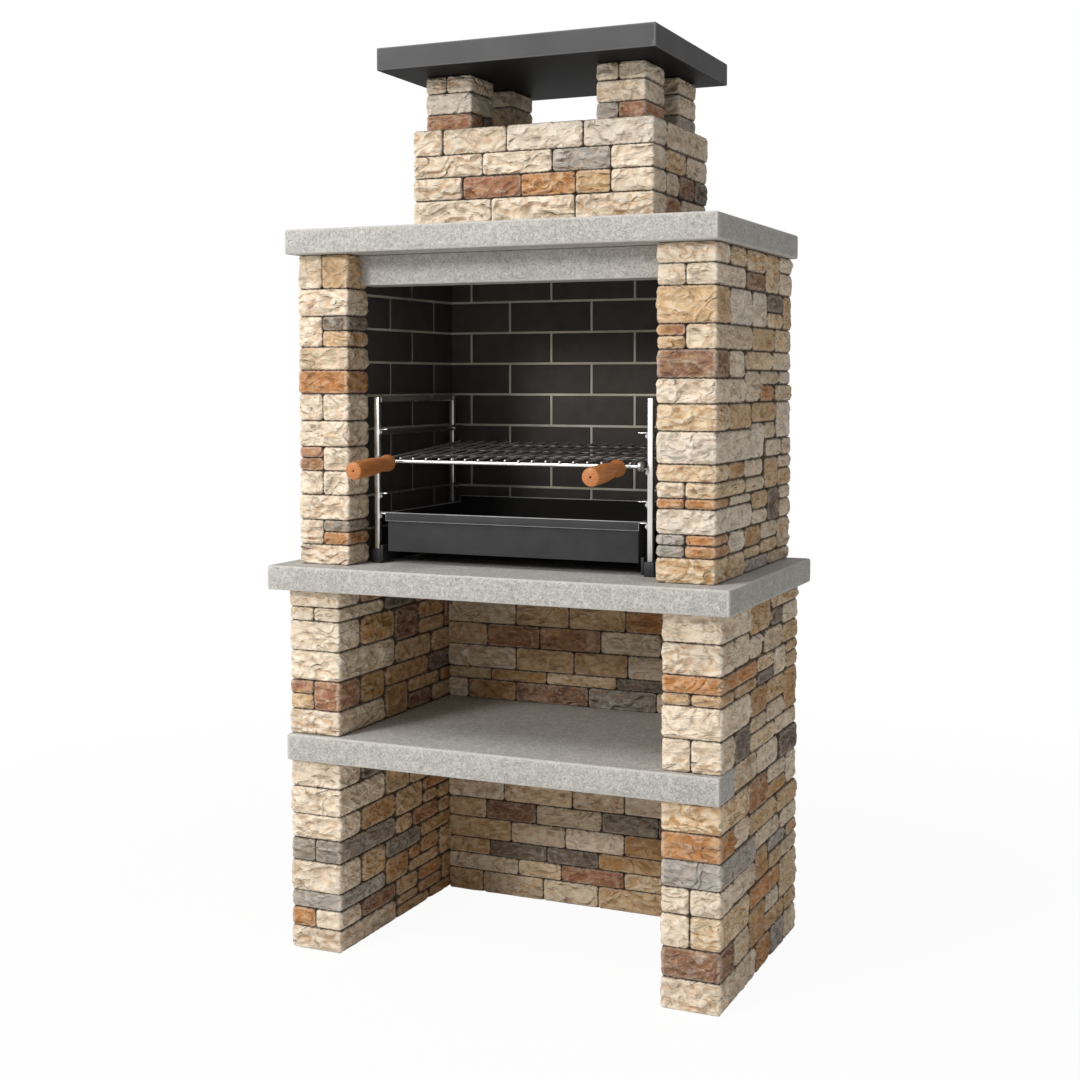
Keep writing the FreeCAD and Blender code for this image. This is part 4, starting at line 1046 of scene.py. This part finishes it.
outer, arris, length, bore = [collarPlan[key] for key in ("outer", "arris", "length", "bore")]
collarRing = [(0, bore), (0, outer - arris), (arris, outer), (length - arris, outer), (length, outer - arris),
              (length, bore), (0, bore)]
rodBar = rodProfile(gripPlan["rodEnd"] - gripPlan["rodStart"], gripPlan["rod"] / 2)
tip, hole, edge = gripPlan["turning"][-1][0], gripPlan["hole"] / 2, gripPlan["holeArris"]
bottom = tip - gripPlan["holeDepth"]
gripTurning = [*gripPlan["turning"], (tip, hole + edge), (tip - edge, hole), (bottom, hole),
               (bottom, gripPlan["turning"][0][1]), gripPlan["turning"][0]]
for side, way in (("left", -1), ("right", 1)):
    turnPiece(side + "Collar", f"{side}_grid_collar", (way * collarPlan["inner"], 0, 0), (way, 0, 0), collarRing,
              collarPlan["sides"], foldedStrip, steelAngle)
    turnPiece(side + "Rod", f"{side}_handle_rod", (way * gripPlan["offset"], -gripPlan["rodStart"], 0), (0, -1, 0),
              rodBar, gridPlan["sides"], drawnRod, steelAngle)
    turnPiece(side + "Grip", f"{side}_grip", (way * gripPlan["offset"], -gripPlan["start"], 0), (0, -1, 0),
              gripTurning, gripPlan["sides"], turnedBeech, gripAngle)
print("grid laid")

# Ember pan: a painted highlight along the edges of its lip, the inside darker as soot and painted shade
panPlan = {"edge": 0.0011, "lip": 0.036, "floorTilt": 0.9, "wallTilt": 0.5, "inward": 0.02}
low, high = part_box("ember_pan")
middle = (low + high) / 2
bm, broken = softCopy("ember_pan", panPlan["edge"])
# the floor and inner walls get the dark paint: soot and painted shade
for face in bm.faces:
    spot = face.calc_center_median()
    inward = face.normal.x * (middle.x - spot.x) + face.normal.y * (middle.y - spot.y)
    floorUp = face.normal.z > panPlan["floorTilt"] and spot.z < middle.z
    if floorUp or (abs(face.normal.z) < panPlan["wallTilt"] and inward > panPlan["inward"]):
        face.material_index = 2
# broken edges near the lip get the pale paint: a painted highlight
for face in broken:
    face.material_index = 1 if face.calc_center_median().z > high.z - panPlan["lip"] else face.material_index
showSmooth("emberPan", bm, [panPaint, highlightPaint, sootAndShadePaint], steelAngle, "pan", "ember_pan")
print("ember pan pushed in")

# Studio: pale floor, white to the camera, a low soft key from the front left and a weak lamp overhead
studioPlan = {"floor": "F2F1EF", "floorHalf": 12, "floorWhite": 0.95, "whiteFrom": 1.2, "whiteAt": 3.2,
              "ambient": 0.35, "aim": (0, 0, 1.0),
              "lamps": (("key", (-2.85, -6.3, 3.85), 1.8, 270), ("top", (-1.6, -3.0, 6.4), 2.6, 160))}


def seenDirectly(tree):   # 1 for the rays that show the surroundings, 0 for those that light the object
    path = addNode(tree, "LightPath").outputs
    seen = addNode(tree, "Math", (path["Is Camera Ray"], path["Is Glossy Ray"]), operation="MAXIMUM")
    return addNode(tree, "Math", (seen, path["Is Transmission Ray"]), operation="MAXIMUM")


half = studioPlan["floorHalf"]
floorMesh = bpy.data.meshes.new("studioFloor")
floorMesh.from_pydata([(-half, -half, 0), (half, -half, 0), (half, half, 0), (-half, half, 0)], [], [(0, 1, 2, 3)])
floor = bpy.data.objects.new("studioFloor", floorMesh)
bpy.context.scene.collection.objects.link(floor)
floor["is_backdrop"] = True
material, tree, spot = startMaterial("paleFloor")
away = addNode(tree, "VectorMath", (spot,), operation="LENGTH").outputs["Value"]
clean = addNode(tree, "MapRange", (away, studioPlan["whiteFrom"], studioPlan["whiteAt"],
                                   studioPlan["floorWhite"], 1.0))
share = addNode(tree, "Math", (seenDirectly(tree), clean), operation="MULTIPLY")
chalk = addNode(tree, "BsdfDiffuse", {"Color": hexToLinear(studioPlan["floor"])})
white = addNode(tree, "Emission", {"Color": (1, 1, 1, 1), "Strength": 1.0})
addNode(tree, "OutputMaterial", {"Surface": addNode(tree, "MixShader", (share, chalk, white))})
floorMesh.materials.append(material)

world = bpy.data.worlds.new("studio")
bpy.context.scene.world = world
world.use_nodes = True
tree = world.node_tree
tree.nodes.clear()
dim, bright = [addNode(tree, "Background", {"Color": (1, 1, 1, 1), "Strength": strength})
               for strength in (studioPlan["ambient"], 1.0)]
addNode(tree, "OutputWorld", {"Surface": addNode(tree, "MixShader", (seenDirectly(tree), dim, bright))})

for name, place, size, power in studioPlan["lamps"]:
    lamp = bpy.data.lights.new(name, "AREA")
    lamp.shape = "DISK"
    lamp.size = size
    lamp.energy = power
    holder = bpy.data.objects.new(name, lamp)
    holder.location = place
    holder.rotation_euler = (Vector(studioPlan["aim"]) - Vector(place)).to_track_quat("-Z", "Y").to_euler()
    bpy.context.scene.collection.objects.link(holder)
bpy.context.scene.view_settings.view_transform = "Standard"
print("studio lit")

size = {"cad": [list(v) for v in cadBounds], "visual": [list(v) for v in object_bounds()]}
